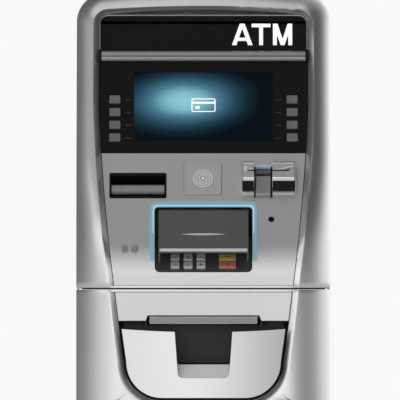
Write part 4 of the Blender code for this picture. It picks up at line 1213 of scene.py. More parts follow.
def make_receipt_slot():
    """Deep bezel with a hooded mouth, a curved grey lip below and fine guide ribs."""
    x0, x1 = -147.6, -58.4
    v0, v1 = face_v(RECEIPT_Z[0]) + 0.4, face_v(RECEIPT_Z[1]) - 0.4
    bezel = face_prism("receipt_surround", rounded_rectangle(x0, x1, v0, v1, 2.6), -1.0, 30.0)
    mouth = [(-5, v0 + 2.6), (3, v0 + 3.4), (9, v0 + 8), (24, v0 + 22), (24, v1 - 8),
             (-1.0, v1 - 5), (-5, v1 - 2.2)]
    cut(bezel, face_bar("mouth", mouth, x0 + 2.5, x1 - 2.5))
    done(bezel, 0.5, "black_plastic", "fascia", "receipt_bezel")
    middle = v0 + 21.5
    lip = arc((9.0, middle - 3.0), 8.4, 262, 100, 14) + [(9.6, middle + 5.4), (12.0, middle + 3.4)]
    lip += [(9.0, middle - 9)]
    curved = face_bar("receipt_lip", lip, x0 + 3.0, x1 - 3.0)
    done(curved, 0.4, "receipt_lip_grey", "fascia")
    rib = prism("rib", [(-0.2, -2.2), (1.4, -3.4), (4.5, 2.0), (1.4, 2.6)], "X", -0.9, 0.9)
    ribs = grown_row("receipt_rib", eased(rib, 0.3), "black_plastic",
                     FACE @ Matrix.Translation(((x0 + x1) / 2 + 16, 2.0, v0 + 7.2)), 6, 1, 46.0,
                     0.0)
    dressed(ribs, "black_plastic", "fascia")
    wound = [(6.5, -43.4), (9.5, -43.5), (33.2, -43.5), (34, -42.7), (34, 42.7), (33.2, 43.5),
             (9.5, 43.5), (6.5, 43.4), (6.5, -43.4)]
    axle = Matrix.Translation((-103, -44, 1084)) @ Matrix.Rotation(math.pi / 2, 4, "Z")
    roll = turned("paper_roll_wound", wound, axle, 72)
    done(roll, 0, "paper", "roll", "paper_roll")


def make_contactless_pad():
    """Slightly raised tile with three plain rings and a dot."""
    v0, v1 = face_v(READER_Z[0]) + 0.4, face_v(READER_Z[1]) - 0.4
    tile = face_prism("contactless_tile", rounded_rectangle(-30.6, 28.6, v0, v1, 4.6), -2.0, 14.0)
    done(tile, 0.9, "reader_tile", "fascia", "contactless_reader")
    at = FACE @ Matrix.Translation((-1.0, 0, (v0 + v1) / 2))
    mark = turned("reader_mark", [(0, -2.2), (2.0, -2.2), (2.0, -1.9), (0, -1.9)], at, 32)
    for radius in (6.0, 10.0, 14.0):
        wide = radius + 1.0
        ring = turned("reader_ring", [(radius, -2.2), (wide, -2.2), (wide, -1.9), (radius, -1.9),
                                      (radius, -2.2)], at, 64)
        with_finish(mark, ring)
    # The printed rings carry a faint painted glow.
    done(mark, 0, "reader_print", "fascia")


def make_card_slot():
    """Bright bezel with two rounded lobes, a tongue between dark grooves and a card slot."""
    x0, x1 = 59.0, 146.0
    v0, v1 = map(face_v, CARD_Z)
    slot_v = face_v(CARD_SLOT_Z)
    left, tongue, right = x0 + 20.4, (x0 + 23.0, x0 + 46.5), x0 + 49.3
    base = face_prism("card_bezel", rounded_rectangle(x0, x1, v0 + 8, v1, 5), -4.0, -0.35)
    low = v0 + 11
    crown = arc((-13.0, v1 - 10.5), 9.5, 178, 96, 10)
    lobe = [(-1.4, low), (-15, low + 2.5), (-21.6, low + 12), (-22.8, low + 14.5),
            (-22.8, slot_v - 2)]
    lobe += crown + [(-1.4, v1 - 1)]
    for i, (a, b) in enumerate(((x0 + 0.5, left), (right, x1 - 0.5))):
        horn = face_bar("lobe", lobe, a, b)
        outside = a if i == 0 else b
        lean = 1 if i == 0 else -1
        corner = [(outside - lean * 2, -40), (outside + lean * 6.5, -40),
                  (outside + lean * 1.2, -14), (outside - lean * 2, -10)]
        cut(horn, prism("corner", corner, "Z", low - 10, v1 + 10, FACE))
        join_solid(base, eased(horn, 2.6, 5, 20))
    neck = face_prism("neck", rounded_rectangle(x0 + 6, x1 - 6, v0 + 15, v1 - 6, 2), -2, 6)
    join_solid(base, neck)
    cut(base, block("card_gap", (x0 + 12, -40, slot_v - 1.3), (x1 - 12, 12, slot_v + 1.3), FACE))
    done(base, 0.35, "bright_bezel", "fascia", "card_reader_bezel")
    outline = [(-0.4, v0 + 0.5), (-7.2, v0 + 1.6), (-8.6, v0 + 6), (-8.8, slot_v - 3.2),
               (-6.6, slot_v - 1.4), (-0.4, slot_v - 1.4)]
    channel = face_bar("card_tongue", outline, *tongue)
    upper = [(-0.4, slot_v + 1.4), (-7.2, slot_v + 1.4), (-9.4, slot_v + 3.4), (-8.0, slot_v + 8.6),
             (-0.4, v1 - 4)]
    # The darkened tongue paint is painted shade in the channel.
    done(channel, 0.9, "card_tongue", "fascia")
    done(face_bar("card_brow", upper, *tongue), 0.9, "grey_plastic", "fascia")
    for label, a, b in (("left", left + 0.1, tongue[0] - 0.1),
                        ("right", tongue[1] + 0.1, right - 0.1)):
        groove = face_bar(f"card_groove_{label}", [(-0.6, v0 + 0.8), (-5.2, v0 + 2.0),
                                                   (-5.2, v1 - 5), (-0.6, v1 - 3)], a, b)
        done(groove, 0.4, "black_plastic", "fascia")
    for label, a, b in (("left", x0 + 2.0, left - 0.3), ("right", right + 0.3, x1 - 2.0)):
        sill = face_bar(f"card_sill_{label}", [(-20.2, low + 9.2), (-14.4, low + 1.6),
                                               (-1.6, low - 0.9), (-1.6, low + 1.0),
                                               (-14.0, low + 3.6), (-19.6, low + 11.2)], a, b)
        done(sill, 0.3, "black_plastic", "fascia")
    lamp = block("card_lamp", (tongue[0] - 2, -4.6, v1 - 4.6), (right + 8, -3.6, v1 - 1.6), FACE)
    done(lamp, 0.4, "soft_light", "fascia")


def make_audio():
    v, sizes = face_v(JACK_Z), bpy.context.scene.machine_sizes
    at = FACE @ Matrix.Translation((JACK_X, 0, v))
    jack = turned("jack_socket", [(1.9, 12), (1.9, -0.6), (2.3, -1.0), (3.9, -1.0), (4.4, -0.5),
                                  (4.4, 16), (1.9, 16), (1.9, 12)], at, 48)
    done(jack, 0, "black_plastic", "fascia", "audio_jack")
    for i, x in enumerate(SPEAKER_X):
        z, y = SPEAKER_Z, panel_y(SPEAKER_Z)
        slope = math.atan(panel_y(z + 0.5) - panel_y(z - 0.5))
        lean = Matrix.Translation((x, y, z)) @ Matrix.Rotation(-slope, 4, "X")
        disc = turned(f"speaker_grille_{i + 1}", [(0, 0.1), (6.7, 0.1), (6.93, 0.25), (6.93, 2.4),
                                                  (0, 2.4)], lean, 48)
        done(disc, 0, "panel_paint", "fascia")
        tree = bpy.data.node_groups.get("Speaker Holes") or perforation_tree("black_plastic")
        holes = grown(f"speaker_holes_{i + 1}", tree, lean, Radius=sizes.speaker_radius,
                      Hole_Radius=sizes.speaker_hole, Across=8)
        dressed(holes, "black_plastic", "fascia")


# ------------------------------------------------------------------ PIN pad


def wrapped(x, depth, v):
    """A point on the face's own axes, carried round the panel's bend where v is below zero."""
    if v >= 0:
        return tuple(FACE @ Vector((x, depth, v)))
    lean = TILT + v / PANEL_BEND
    y = PANEL_Y + PANEL_BEND * (1 - math.cos(lean))
    z = FACE_Z - PANEL_BEND * (math.sin(TILT) - math.sin(lean))
    return (x, y + depth * math.cos(lean), z - depth * math.sin(lean))


def wrapped_band(name, outer, inner, depths):
    """An inverted U between two right halves, listed from foot to top, that follows the bend."""
    outline = mirrored(outer)
    outline += [(-x, v) for x, v in inner] + inner[::-1]
    count = len(outline)
    half = count // 2
    points = [wrapped(x, depth, v) for depth in depths for x, v in outline]
    faces = [(i, (i + 1) % count, (i + 1) % count + count, i + count) for i in range(count)]
    for level in (0, count):
        for i in range(half - 1):
            faces.append((level + i, level + i + 1, level + count - 2 - i, level + count - 1 - i))
    return mesh_piece(name, points, faces)


def make_light_guide():
    """Lit band round the top and both sides of the PIN pad, with a brighter inner line."""
    v1 = face_v(1056.0)
    outer, inner, top = PAD_HALF + 7.5, PAD_HALF + 0.6, v1 + 5.5
    foot = [-33.0 + 33.0 * i / 14 for i in range(15)]
    outside = [(outer, v) for v in foot] + arc((outer - 10, top - 10), 10, 0, 90, 12)
    inside = [(inner, v) for v in foot] + arc((inner - 7, v1 - 11.0), 7, 0, 90, 12)
    guide = wrapped_band("pad_light", outside, inside, (-2.4, -0.35))
    done(guide, 0.6, "blue_light", "fascia", "pad_light_guide")
    low = [12.0 + 4.0 * i for i in range(4)]
    rim = [(inner + 2.5, v) for v in low] + arc((inner - 4.5, v1 - 8.0), 7, 0, 90, 12)
    core = [(inner + 0.9, v) for v in low] + arc((inner - 6.1, v1 - 9.8), 7, 0, 90, 12)
    bright = wrapped_band("pad_light_core", rim, core, (-2.8, -2.2))
    done(bright, 0.15, "bright_light", "fascia")


def make_pad_hood():
    """Privacy hood: sloping roof with a bright front lip and two side cheeks."""
    half, wall = PAD_HALF - 6.0, 2.5
    top, lip = (panel_y(1047) - 1.0, 1047.0), (-288.0, 985.0)
    outline = [top, lip, (lip[0] + 1.5, lip[1] - 5), (panel_y(966) - 3.0, 966.0),
               (panel_y(975) + 1, 975.0), (panel_y(1000) + 9, 1000.0), (panel_y(1052) + 9, 1050.0)]
    hood = prism("pad_cover", outline, "X", -half, half)
    inside = [(top[0] + 14, top[1] - wall - 10), (lip[0] + 3, lip[1] - wall - 0.5),
              (lip[0] - 5, lip[1] - 8), (lip[0] - 5, 940), (-180, 940), (-180, 1040)]
    cut(hood, prism("hood_inside", inside, "X", -half + wall, half - wall))
    dressed(eased(hood, 1.6, 4), "grey_plastic", "fascia", "pad_hood")
    strip = prism("hood_lip", rounded_rectangle(-69, 69, -1.6, 4.6, 1.6), "Y", -0.5, 0.6,
                  hood_place(top, lip))
    done(strip, 0.35, "lip_bright", "fascia")
    lens = prism("hood_mark", [(-34.5, 38.0), (-20, 36.6), (0, 36.0), (20, 36.6), (34.5, 38.0),
                               (20, 39.4), (0, 40.0), (-20, 39.4)], "Y", -0.35, 0.4,
                 hood_place(top, lip))
    dressed(lens, "hood_print", "fascia")


def hood_place(top, lip):
    """A place on the hood's roof: X across, Z up the slope from the lip, -Y out of it."""
    up = Vector((0, top[0] - lip[0], top[1] - lip[1])).normalized()
    out = Vector((1, 0, 0)).cross(up)
    if out.y > 0:
        out.negate()
    across = Vector((1, 0, 0))
    turn = Matrix((across, -out, up)).transposed().to_4x4()
    return Matrix.Translation((0, lip[0], lip[1])) @ turn


def make_pin_keys():
    """Sixteen domed keys; digits and plain signs stand on them as thin raised print."""
    half = PAD_HALF - 1.2
    plate = prism("pad_plate", rounded_rectangle(-half, half, 0, 86.0, 3), "Y", 0, 22, PAD)
    for v in KEY_ROWS:
        for x, width in KEY_COLUMNS:
            w, d = width / 2 + 0.4, 6.9
            cut(plate, prism("well", rounded_rectangle(x - w, x + w, v - d, v + d, 1.2, 3), "Y",
                             -5, 8, PAD))
    done(plate, 0.5, "grey_plastic", "fascia", "pin_pad")
    for row, v in enumerate(KEY_ROWS):
        for column, (x, width) in enumerate(KEY_COLUMNS):
            node_name = f"pad_key_{row + 1}_{column + 1}"
            key = key_cap(node_name + "_cap", x, v, width)
            coloured = column == 3
            # Key looks are lightened as painted light, in place of the hood's shade on them.
            look = SIDE_KEY_LOOKS[row] if coloured else "key_metal"
            key.data.materials.append(finish(look))
            mark = bar_mark(x, v, row) if coloured else digit_mark(KEY_SIGNS[row][column], x, v)
            if mark:
                mark.data.materials.append(finish("key_print"))
                with_finish(key, mark)
            dressed(key, look, "body_" + node_name, node_name)


def key_cap(name, x, v, width):
    """A key with soft shoulders and a slightly dished top."""
    w, d = width / 2, 6.5
    cap = prism(name, rounded_rectangle(x - w, x + w, v - d, v + d, 1.1, 4), "Y", -4.0, 5.0, PAD)
    dish = turned("dish", [(0, -3.55), (w * 0.55, -3.75), (w * 0.8, -4.6), (0, -8)],
                  PAD @ Matrix.Translation((x, 0, v)), 40)
    if width < 20:
        cut(cap, dish)
    else:
        bpy.data.objects.remove(dish)
    return eased(cap, 0.9, 4)


def digit_mark(sign, x, v):
    """A digit, or a plain ring or square for the two side keys, as thin raised print."""
    at = PAD @ Matrix.Translation((x, -3.55, v))
    if sign == "star":
        return turned("ring_sign", [(1.7, -0.12), (2.3, -0.12), (2.3, 0.1), (1.7, 0.1),
                                    (1.7, -0.12)], at, 24)
    if sign == "hash":
        return block("square_sign", (-1.7, -0.12, -1.7), (1.7, 0.1, 1.7), at)
    curve = bpy.data.curves.new("digit_" + sign, "FONT")
    for key, value in (("body", sign), ("size", 7.0), ("extrude", 0.12), ("resolution_u", 3),
                       ("align_x", "CENTER"), ("align_y", "CENTER")):
        setattr(curve, key, value)
    holder = linked("digit_holder", curve)
    graph = bpy.context.evaluated_depsgraph_get()
    graph.update()
    mesh = bpy.data.meshes.new_from_object(holder.evaluated_get(graph))
    bpy.data.objects.remove(holder)
    mesh.transform(at @ Matrix.Rotation(math.pi / 2, 4, "X"))
    points = [vertex.co.copy() for vertex in mesh.vertices]
    return mesh_piece("digit_" + sign, points, [tuple(face.vertices) for face in mesh.polygons])


def bar_mark(x, v, row):
    """Plain signs on the coloured keys: a cross, a bar and a ring; the fourth is blank."""
    at = PAD @ Matrix.Translation((x, -3.98, v))
    if row == 0:
        bar = block("cross_a", (-3, -0.1, -0.45), (3, 0.1, 0.45),
                    at @ Matrix.Rotation(0.78, 4, "Y"))
        return with_finish(bar, block("cross_b", (-3, -0.1, -0.45), (3, 0.1, 0.45),
                                      at @ Matrix.Rotation(-0.78, 4, "Y")))
    if row == 1:
        return block("bar_sign", (-3.4, -0.1, -0.5), (3.4, 0.1, 0.5), at)
    if row == 2:
        return turned("ring_sign", [(2.2, -0.1), (3.0, -0.1), (3.0, 0.1), (2.2, 0.1), (2.2, -0.1)],
                      at, 32)
    return None


# ------------------------------------------------------------------ note exit and tray


def make_dispenser_panel():
    z0, z1 = 874.5, 919.9
    right = [(shield_half(z0 + (z1 - z0) * i / 6) - 0.8, z0 + (z1 - z0) * i / 6) for i in range(7)]
    panel = prism("exit_plate", mirrored(right), "Y", PANEL_Y, PANEL_Y + 3)
    mouth = [(-92.5, z0 - 5), (92.5, z0 - 5), (87.5, 883), (-87.5, 883)]
    cut(panel, prism("mouth", mouth, "Y", PANEL_Y - 5, PANEL_Y + 8))
    done(panel, 0.7, "panel_paint", "safe_door_group", "dispenser_panel")


def make_note_exit():
    """Black duct with its trim round the mouth, and the sloped bright flap in it."""
    chute = refined("note_duct", "note_chute", 0.5)
    # The duct's grey, lighter than its black, is painted light.
    dressed(chute, "duct_grey", "safe_door_group", "note_chute")
    flap = prism("exit_flap_blade", [(-255.5, 881.5), (-253, 880), (-258.5, 869.5), (-261.5, 870)],
                 "X", -84.6, 84.6)
    done(flap, 0.5, "silver_paint", "flap", "exit_flap")
    pin = rod("exit_flap_pin", (-255.3, 880.6), "X", 1.1, -85.2, 85.2, steps=20)
    done(pin, 0.2, "bare_steel", "flap")


def make_cash_tray():
    """Bulged front that fills the shield's foot, with a finger notch and a note ramp."""
    corner_z = SHIELD_BOTTOM_Z + SHIELD_BOTTOM_CORNER
    edge_gap, sag, top = 4.0, 5.0, 862.0
    rows, columns = 44, 49

    def half_at(z):
        if z >= corner_z:
            return shield_half(z) - edge_gap
        radius = SHIELD_BOTTOM_CORNER - edge_gap
        return SHIELD_BOTTOM_HALF + math.sqrt(max(0.0, radius**2 - (corner_z - z) ** 2))

    low = SHIELD_BOTTOM_Z + edge_gap
    points, faces = [], []
    for k in range(rows):
        share_z = 1 - math.cos(math.pi / 2 * k / (rows - 1))
        z = low + (top - low) * share_z
        for i in range(columns):
            share = math.sin(math.pi / 2 * (2 * i / (columns - 1) - 1))
            x = share * half_at(z)
            y = -262.0 - 22.0 * (1 - (x / SHIELD_HALF) ** 2)
            points.append((x, y, z - sag * (1 - share * share) * (k / (rows - 1)) ** 3))
    layer = len(points)
    points += [(x, y + SKIN, z) for x, y, z in points]
    for k in range(rows - 1):
        for i in range(columns - 1):
            a, b = k * columns + i, (k + 1) * columns + i
            faces.append((a, a + 1, b + 1, b))
            faces.append((layer + b, layer + b + 1, layer + a + 1, layer + a))
    border = list(range(columns)) + [k * columns + columns - 1 for k in range(1, rows)]
    border += [(rows - 1) * columns + i for i in range(columns - 2, -1, -1)]
    border += [k * columns for k in range(rows - 2, 0, -1)]
    faces += [(border[(i + 1) % len(border)], a, layer + a, layer + border[(i + 1) % len(border)])
              for i, a in enumerate(border)]
    tray = mesh_piece("tray_front", points, faces)
    notch = [(46, 868), (-46, 868)] + arc((-32.5, 793), 8, 180, 270, 8)
    notch += arc((32.5, 793), 8, 270, 360, 8)
    cut(tray, prism("finger_notch", notch, "Y", -330, -230))
    dressed(eased(tray, 1.1, 3, 42), "silver_paint", "safe_door_group", "cash_tray")
    wide = [(-270.0, 787.1), (-270.0, 784.0), (-218.0, 803.0), (-218.0, 806.5)]
    lip = [(-279.3, 784.2), (-279.3, 781.0), (-266.0, 785.7), (-254.0, 790.2), (-254.0, 806.3),
           (-262.5, 806.3)]
    floor = prism("tray_floor", wide, "X", -104, 104)
    join_solid(floor, prism("tray_floor_lip", lip, "X", -45, 45))
    # The tray floor's near-white tone is painted sheen on its silver paint.
    done(floor, 0.4, "tray_floor", "safe_door_group")
    for side, label in SIDES:
        x0, x1 = sorted((side * 101, side * 104))
        cheek = [(-268.0, 789.5), (-229.0, 803.5), (-229.0, 856.0), (-268.0, 856.0)]
        done(prism(f"tray_cheek_{label}", cheek, "X", x0, x1), 0.6, "black_plastic",
             "safe_door_group")


# ------------------------------------------------------------------ door cover and locks


def cover_outline(inset=0.0, back=DOOR_BACK_Y):
    right = [(HALF_WIDTH - inset, back)]
    right += arc((HALF_WIDTH - ROLL_BOTTOM, RIM_Y + ROLL_BOTTOM), ROLL_BOTTOM - inset, 0, -90, 24)
    return mirrored(right)


def make_door_cover():
    cover = prism("door_skin", cover_outline(), "Z", 22, BEZEL_BOTTOM_Z - 3)
    cut(cover, prism("hollow", cover_outline(SKIN, DOOR_BACK_Y + 10), "Z", 25, BEZEL_BOTTOM_Z - 6))
    cut(cover, block("rear", (-197, -176, 5), (197, -142, BEZEL_BOTTOM_Z + 5)))
    for x, z in (DIAL, HANDLE):
        cut(cover, rod("opening", (x, z), "Y", 12, -300, -240))
    dressed(eased(cover, 1.6, 3, 50), "silver_paint", "safe_door_group", "door_cover")
    for i, (x, z) in enumerate((DIAL, HANDLE)):
        at = Matrix.Translation((x, RIM_Y, z))
        radius = (30.5, 23.5)[i]
        rose = turned(f"lock_rose_{i + 1}", [(12.2, 2), (12.2, -0.9), (radius - 1, -0.9),
                                             (radius, -0.2), (radius, 0.6), (12.2, 2)], at, 72)
        done(rose, 0, "dark_rubber", "safe_door_group")


def make_door_locks():
    x, z = DIAL
    at = Matrix.Translation((x, 0, z))
    dial = turned("dial_knob", [(0, -282.2), (15, -282.2), (17, -281), (18, -274), (20.5, -270.2),
                                (26.2, -268.6), (27, -267.6), (27, -262.4), (26.4, -262), (8, -262),
                                (8, -150.4), (7.6, -150), (0, -150)], at, 96)
    done(dial, 0, "bare_steel", "dial", "lock_dial")
    grip = prism("dial_bar", rounded_rectangle(x - 4, x + 4, z - 15, z + 15, 3.8), "Y", -290, -280)
    done(grip, 1.2, "bare_steel", "dial")
    ticks = grown("dial_graduations", tick_tree("black_plastic"),
                  Matrix.Translation((x, -269.3, z)), Count=50, Radius=0.0236, Length=0.0026)
    dressed(ticks, "black_plastic", "dial")
    x, z = HANDLE
    at = Matrix.Translation((x, 0, z))
    hub = turned("handle_hub", [(0, -276.5), (15, -276.5), (19, -275), (20, -273.5), (20, -262.4),
                                (19.6, -262), (8, -262), (8, -146.4), (7.6, -146), (0, -146)], at,
                 72)
    done(hub, 0, "bare_steel", "handle", "door_handle")
    lever = prism("handle_lever", rounded_rectangle(x - 100, x + 12, z - 9, z + 9, 8.5, 10), "Y",
                  -290, -275)
    dressed(eased(lever, 4.0, 5), "bare_steel", "handle")
    bolts = refined("bolt_work", "lock_bolts", 0.8)
    dressed(bolts, "bare_steel", "bolts", "lock_bolts")
    lock = refined("cam_lock_barrel", "fascia_lock", 0.5)
    dressed(lock, "bare_steel", "cam_lock", "fascia_lock")


# ------------------------------------------------------------------ cabinet, safe and insides


def cabinet_outline(inset=0.0, bottom=923.0):
    half, corner_x = HALF_WIDTH - inset, HALF_WIDTH - OUTLINE_CORNER
    corner_z = HEIGHT - TOP_SAG - OUTLINE_CORNER
    right = [(half, bottom), (half, corner_z)]
    right += arc((corner_x, corner_z), OUTLINE_CORNER - inset, 0, 90, 16)[1:]
    right += [(corner_x * s, HEIGHT - inset - TOP_SAG * s * s) for s in (0.8, 0.6, 0.4, 0.2)]
    return right + [(0.0, HEIGHT - inset)] + [(-x, z) for x, z in reversed(right)]


def hinge_arm(name, z0, z1):
    outline = [(-6, -6), (34, -6), (34, 34), (-14, 34), (-14, 26), (24, 26), (24, 6), (-6, 6)]
    return prism(name, [(FASCIA_PIN[0] + x, FASCIA_PIN[1] + y) for x, y in outline], "Z", z0, z1)


def make_cabinet():
    shell = prism("cabinet_skin", cabinet_outline(), "Y", CABINET_FRONT_Y, BACK_Y)
    cut(shell, prism("hollow", cabinet_outline(2.5, 915.0), "Y", CABINET_FRONT_Y - 5, BACK_Y - 2.5))
    cut(shell, block("inlet", (-26, BACK_Y - 6, 960), (26, BACK_Y + 5, 992)))
    for i in range(6):
        z = 1240 + 16 * i
        cut(shell, prism("vent", rounded_rectangle(-90, 90, z, z + 6, 2.9), "Y", BACK_Y - 8,
                         BACK_Y + 5))
    dressed(eased(shell, 0.7, 3, 50), "silver_paint", "cabinet", "upper_cabinet")
    for i, z in enumerate((1330.0, 960.0)):
        arm = hinge_arm(f"cabinet_arm_{i + 1}", z, z + 8)
        done(arm, 0.8, "module_grey", "cabinet")
    pin = rod("fascia_pin", FASCIA_PIN, "Z", 4.0, 962, 1336, steps=32)
    done(pin, 0.6, "bare_steel", "cabinet")
    for i, z in enumerate((1350.0, 1150.0, 945.0)):
        rear_screws(f"cabinet_screws_{i + 1}", z, 2, 340.0)
    make_power_inlet()


def rear_screws(name, z, columns, width):
    """A row of flat screw heads in the back plane."""
    back = Matrix.Translation((0, BACK_Y - 0.4, 0)) @ Matrix.Rotation(math.pi, 4, "Z")
    screws = grown_row(name, shallow(screw_head()), "bare_steel",
                       back @ Matrix.Translation((0, 0, z)), columns, 1, width, 0.0)
    dressed(screws, "bare_steel", "cabinet")


def shallow(template, depth=0.12):
    """Flattens a screw head so that it sits inside the back plane."""
    template.data.transform(Matrix.Scale(depth, 4, (0, 1, 0)))
    return template


def make_power_inlet():
    body = block("inlet_body", (-24.6, 286.6, 961.2), (24.6, 289.9, 990.8))
    cut(body, prism("socket", [(-13, 966.5), (13, 966.5), (13, 981), (8, 986), (-8, 986),
                               (-13, 981)], "Y", 287.6, 295))
    done(body, 0.4, "black_plastic", "cabinet", "power_inlet")
    blade = block("blade", (-1.0, 0, -2.6), (1.0, 2.0, 2.6))
    pins = grown_row("inlet_pins", blade, "bare_steel", Matrix.Translation((0, 287.4, 976)), 3, 1,
                     14.0, 0)
    dressed(pins, "bare_steel", "cabinet")


def ring(name, outer, inner, y0, y1):
    """A flat frame between two outlines of the cabinet."""
    frame_piece = prism(name, cabinet_outline(outer), "Y", y0, y1)
    return cut(frame_piece, prism("hollow", cabinet_outline(inner), "Y", y0 - 5, y1 + 5))


def make_seals():
    """Rubber seals that close the gaps behind the fascia and behind the safe door."""
    seal = join_solid(ring("fascia_seal", 4.5, 10.5, 3.0, 20.0),
                      ring("foot", 1.6, 10.5, 15.5, 20.0))
    cut(seal, block("hinge_room", (-210, -5, 900), (-148, 30, 1410)),
        block("floor_room", (-160, -5, 900), (210, 30, 934)))
    done(seal, 0.4, "dark_rubber", "cabinet")
    outline = [(-130, 24), (178, 24), (178, 908), (-130, 908), (-130, 898), (168, 898), (168, 34),
               (-130, 34)]
    strip = prism("safe_door_seal", outline, "Y", -153.0, -143.2)
    done(strip, 0.8, "dark_rubber", "safe_door_group")


def make_safe():
    finished_node("safe_shell", "safe_body", 1.5, "safe_steel", "cabinet")
    finished_node("safe_door_plate", "safe_door", 1.0, "safe_steel", "safe_door_group")
    rear_screws("safe_rear_screws", 880, 4, 330.0)
    inner = Matrix.Translation((0, -151.2, 460)) @ Matrix.Rotation(math.pi, 4, "Z")
    rivets = grown_row("door_rivets", screw_head(), "bare_steel", inner, 2, 5, 300.0, 760.0)
    dressed(rivets, "bare_steel", "safe_door_group")


def make_modules():
    """Controller, note dispenser with its belts and rollers, cassette, printer and readers."""
    finished_node("controller_case", "controller_unit", 1.0, "module_grey", "cabinet")
    fins = grown_row("controller_louvres", block("fin", (-30, -0.7, -1.2), (30, 0.4, 1.2)),
                     "module_grey", Matrix.Translation((5, 119.9, 1060)), 3, 12, 150.0, 180.0)
    dressed(fins, "module_grey", "cabinet")
    finished_node("dispenser_frame", "note_dispenser", 0.8, "module_grey", "cabinet")
    roller = eased(rod("roller", (0, 0), "X", 6.0, -11, 11, steps=28), 0.8)
    rollers = grown_row("dispenser_rollers", roller, "dark_rubber",
                        Matrix.Translation((0, -120.5, 700)), 5, 3, 200.0, 150.0)
    dressed(rollers, "dark_rubber", "cabinet")
    for i, z in enumerate((625.0, 700.0, 775.0)):
        axle = rod(f"dispenser_axle_{i + 1}", (-120.5, z), "X", 2.5, -132, 132, steps=20)
        done(axle, 0.4, "bare_steel", "cabinet")
    finished_node("cassette_case", "cash_cassette", 2.0, "grey_plastic", "cabinet", 3)
    handle = prism("cassette_handle", [(-104, 503), (-112, 505), (-112, 525), (-104, 527)], "X",
                   -50, 50)
    done(handle, 1.5, "black_plastic", "cabinet")
    finished_node("printer_frame", "receipt_printer", 0.8, "module_grey", "fascia")
    finished_node("card_transport", "card_reader", 1.2, "module_grey", "fascia")
    finished_node("speaker_case", "speaker", 1.0, "black_plastic", "fascia")


# ------------------------------------------------------------------ stage


def make_stage():
    scene = bpy.context.scene
    floor = linked("floor", bpy.data.meshes.new("floor"))
    corners = [(x * FLOOR_HALF, y * FLOOR_HALF, 0) for x, y in rectangle(-1, 1, -1, 1)]
    floor.data.from_pydata(corners, [], [(0, 1, 2, 3)])
    pale = bpy.data.materials.new("floor_pale")
    pale.use_nodes = True
    shader = pale.node_tree.nodes["Principled BSDF"]
    for key, value in (("Base Color", (0.86, 0.86, 0.87, 1)), ("Roughness", 0.7),
                       ("Emission Color", (1, 1, 1, 1)), ("Emission Strength", 0.26)):
        shader.inputs[key].default_value = value
    floor.data.materials.append(pale)
    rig.stage(floor)
    make_surroundings(scene)
    make_lamp("lamp_left", (-6.5, -5.0, 4.6), (0, 0, 0.95), 4.5, 36)
    make_lamp("lamp_overhead", (-0.8, -0.6, 5.8), (0, 0, 1.0), 3.2, 22)
    lens = bpy.data.cameras.new("long_lens")
    lens.sensor_width = SENSOR
    lens.lens = SENSOR * LENS_DISTANCE / LENS_FIELD * LENS_TRIM
    lens.clip_end = 400.0
    camera = scene.camera = linked("camera", lens)
    camera.location = (-0.0055, -30.2, 1.0643)
    camera.rotation_euler = (math.pi / 2, 0, 0)
    scene.view_settings.view_transform = "Standard"


def make_lamp(name, place, aim, size, power):
    light = bpy.data.lights.new(name, "AREA")
    light.size = size
    light.energy = power
    lamp = linked(name, light)
    lamp.location = place
    lamp.rotation_euler = (Vector(aim) - Vector(place)).to_track_quat("-Z", "Y").to_euler()


AZIMUTH_STOPS = ((0.0, 0.06), (0.09, 0.05), (0.2, 0.07), (0.3, 0.24), (0.38, 0.44), (0.44, 0.62),
                 (0.5, 0.8), (0.56, 0.26), (0.61, 0.08), (0.68, 0.09), (0.74, 0.24), (0.8, 0.46),
                 (0.9, 0.56), (0.985, 0.5), (1.0, 0.06))
HEIGHT_STOPS = ((0.0, 1.0), (0.5, 1.0), (0.6, 0.8), (0.75, 0.42), (0.88, 0.17), (1.0, 0.12))


def make_surroundings(scene):
    """World of soft panels by compass direction, dimmer overhead; plain white where seen."""
    world = scene.world = bpy.data.worlds.new("studio")
    world.use_nodes = True
    tree = world.node_tree
    tree.nodes.clear()
    where = node(tree, "ShaderNodeTexCoord").outputs["Generated"]
    x, y, z = node(tree, "ShaderNodeSeparateXYZ", {0: where}).outputs
    compass = calc(tree, "ARCTAN2", x, calc(tree, "MULTIPLY", y, -1.0))
    around = node(tree, "ShaderNodeValToRGB", {"Fac": ramp(tree, compass, -math.pi, math.pi)})
    fill_ramp(around, AZIMUTH_STOPS)
    side = calc(tree, "MULTIPLY_ADD", x, 0.35, 0.8)
    rise = calc(tree, "MULTIPLY", z, calc(tree, "MULTIPLY_ADD", y, -0.35, side))
    upward = node(tree, "ShaderNodeValToRGB", {"Fac": ramp(tree, rise, -1.0, 1.0)})
    fill_ramp(upward, HEIGHT_STOPS)
    dim = blended(tree, 1.0, around.outputs["Color"], upward.outputs["Color"], "MULTIPLY")
    lighting = node(tree, "ShaderNodeBackground", {"Color": dim, "Strength": 2.4})
    seen = node(tree, "ShaderNodeBackground", {"Color": (0.945, 0.945, 0.95, 1), "Strength": 1.0})
    path = node(tree, "ShaderNodeLightPath")
    mixed = node(tree, "ShaderNodeMixShader", {0: path.outputs["Is Camera Ray"],
                                               1: lighting.outputs[0], 2: seen.outputs[0]})
    node(tree, "ShaderNodeOutputWorld", {"Surface": mixed.outputs[0]})


# ------------------------------------------------------------------ add-on


class MachinePaint(bpy.types.PropertyGroup):
    """Colours of the machine's paint."""

    silver: FloatVectorProperty(name="Silver", description="Colour of the shells' metallic paint",
                                subtype="COLOR", size=3, default=(0.74, 0.74, 0.745), min=0, max=1)
    panel: FloatVectorProperty(name="Panel", description="Colour of the control panel's paint",
                               subtype="COLOR", size=3, default=(0.68, 0.68, 0.685), min=0, max=1)
    silver_roughness: FloatProperty(name="Roughness", description="How matt the paint is",
                                    subtype="FACTOR", default=0.3, min=0.05, max=1)


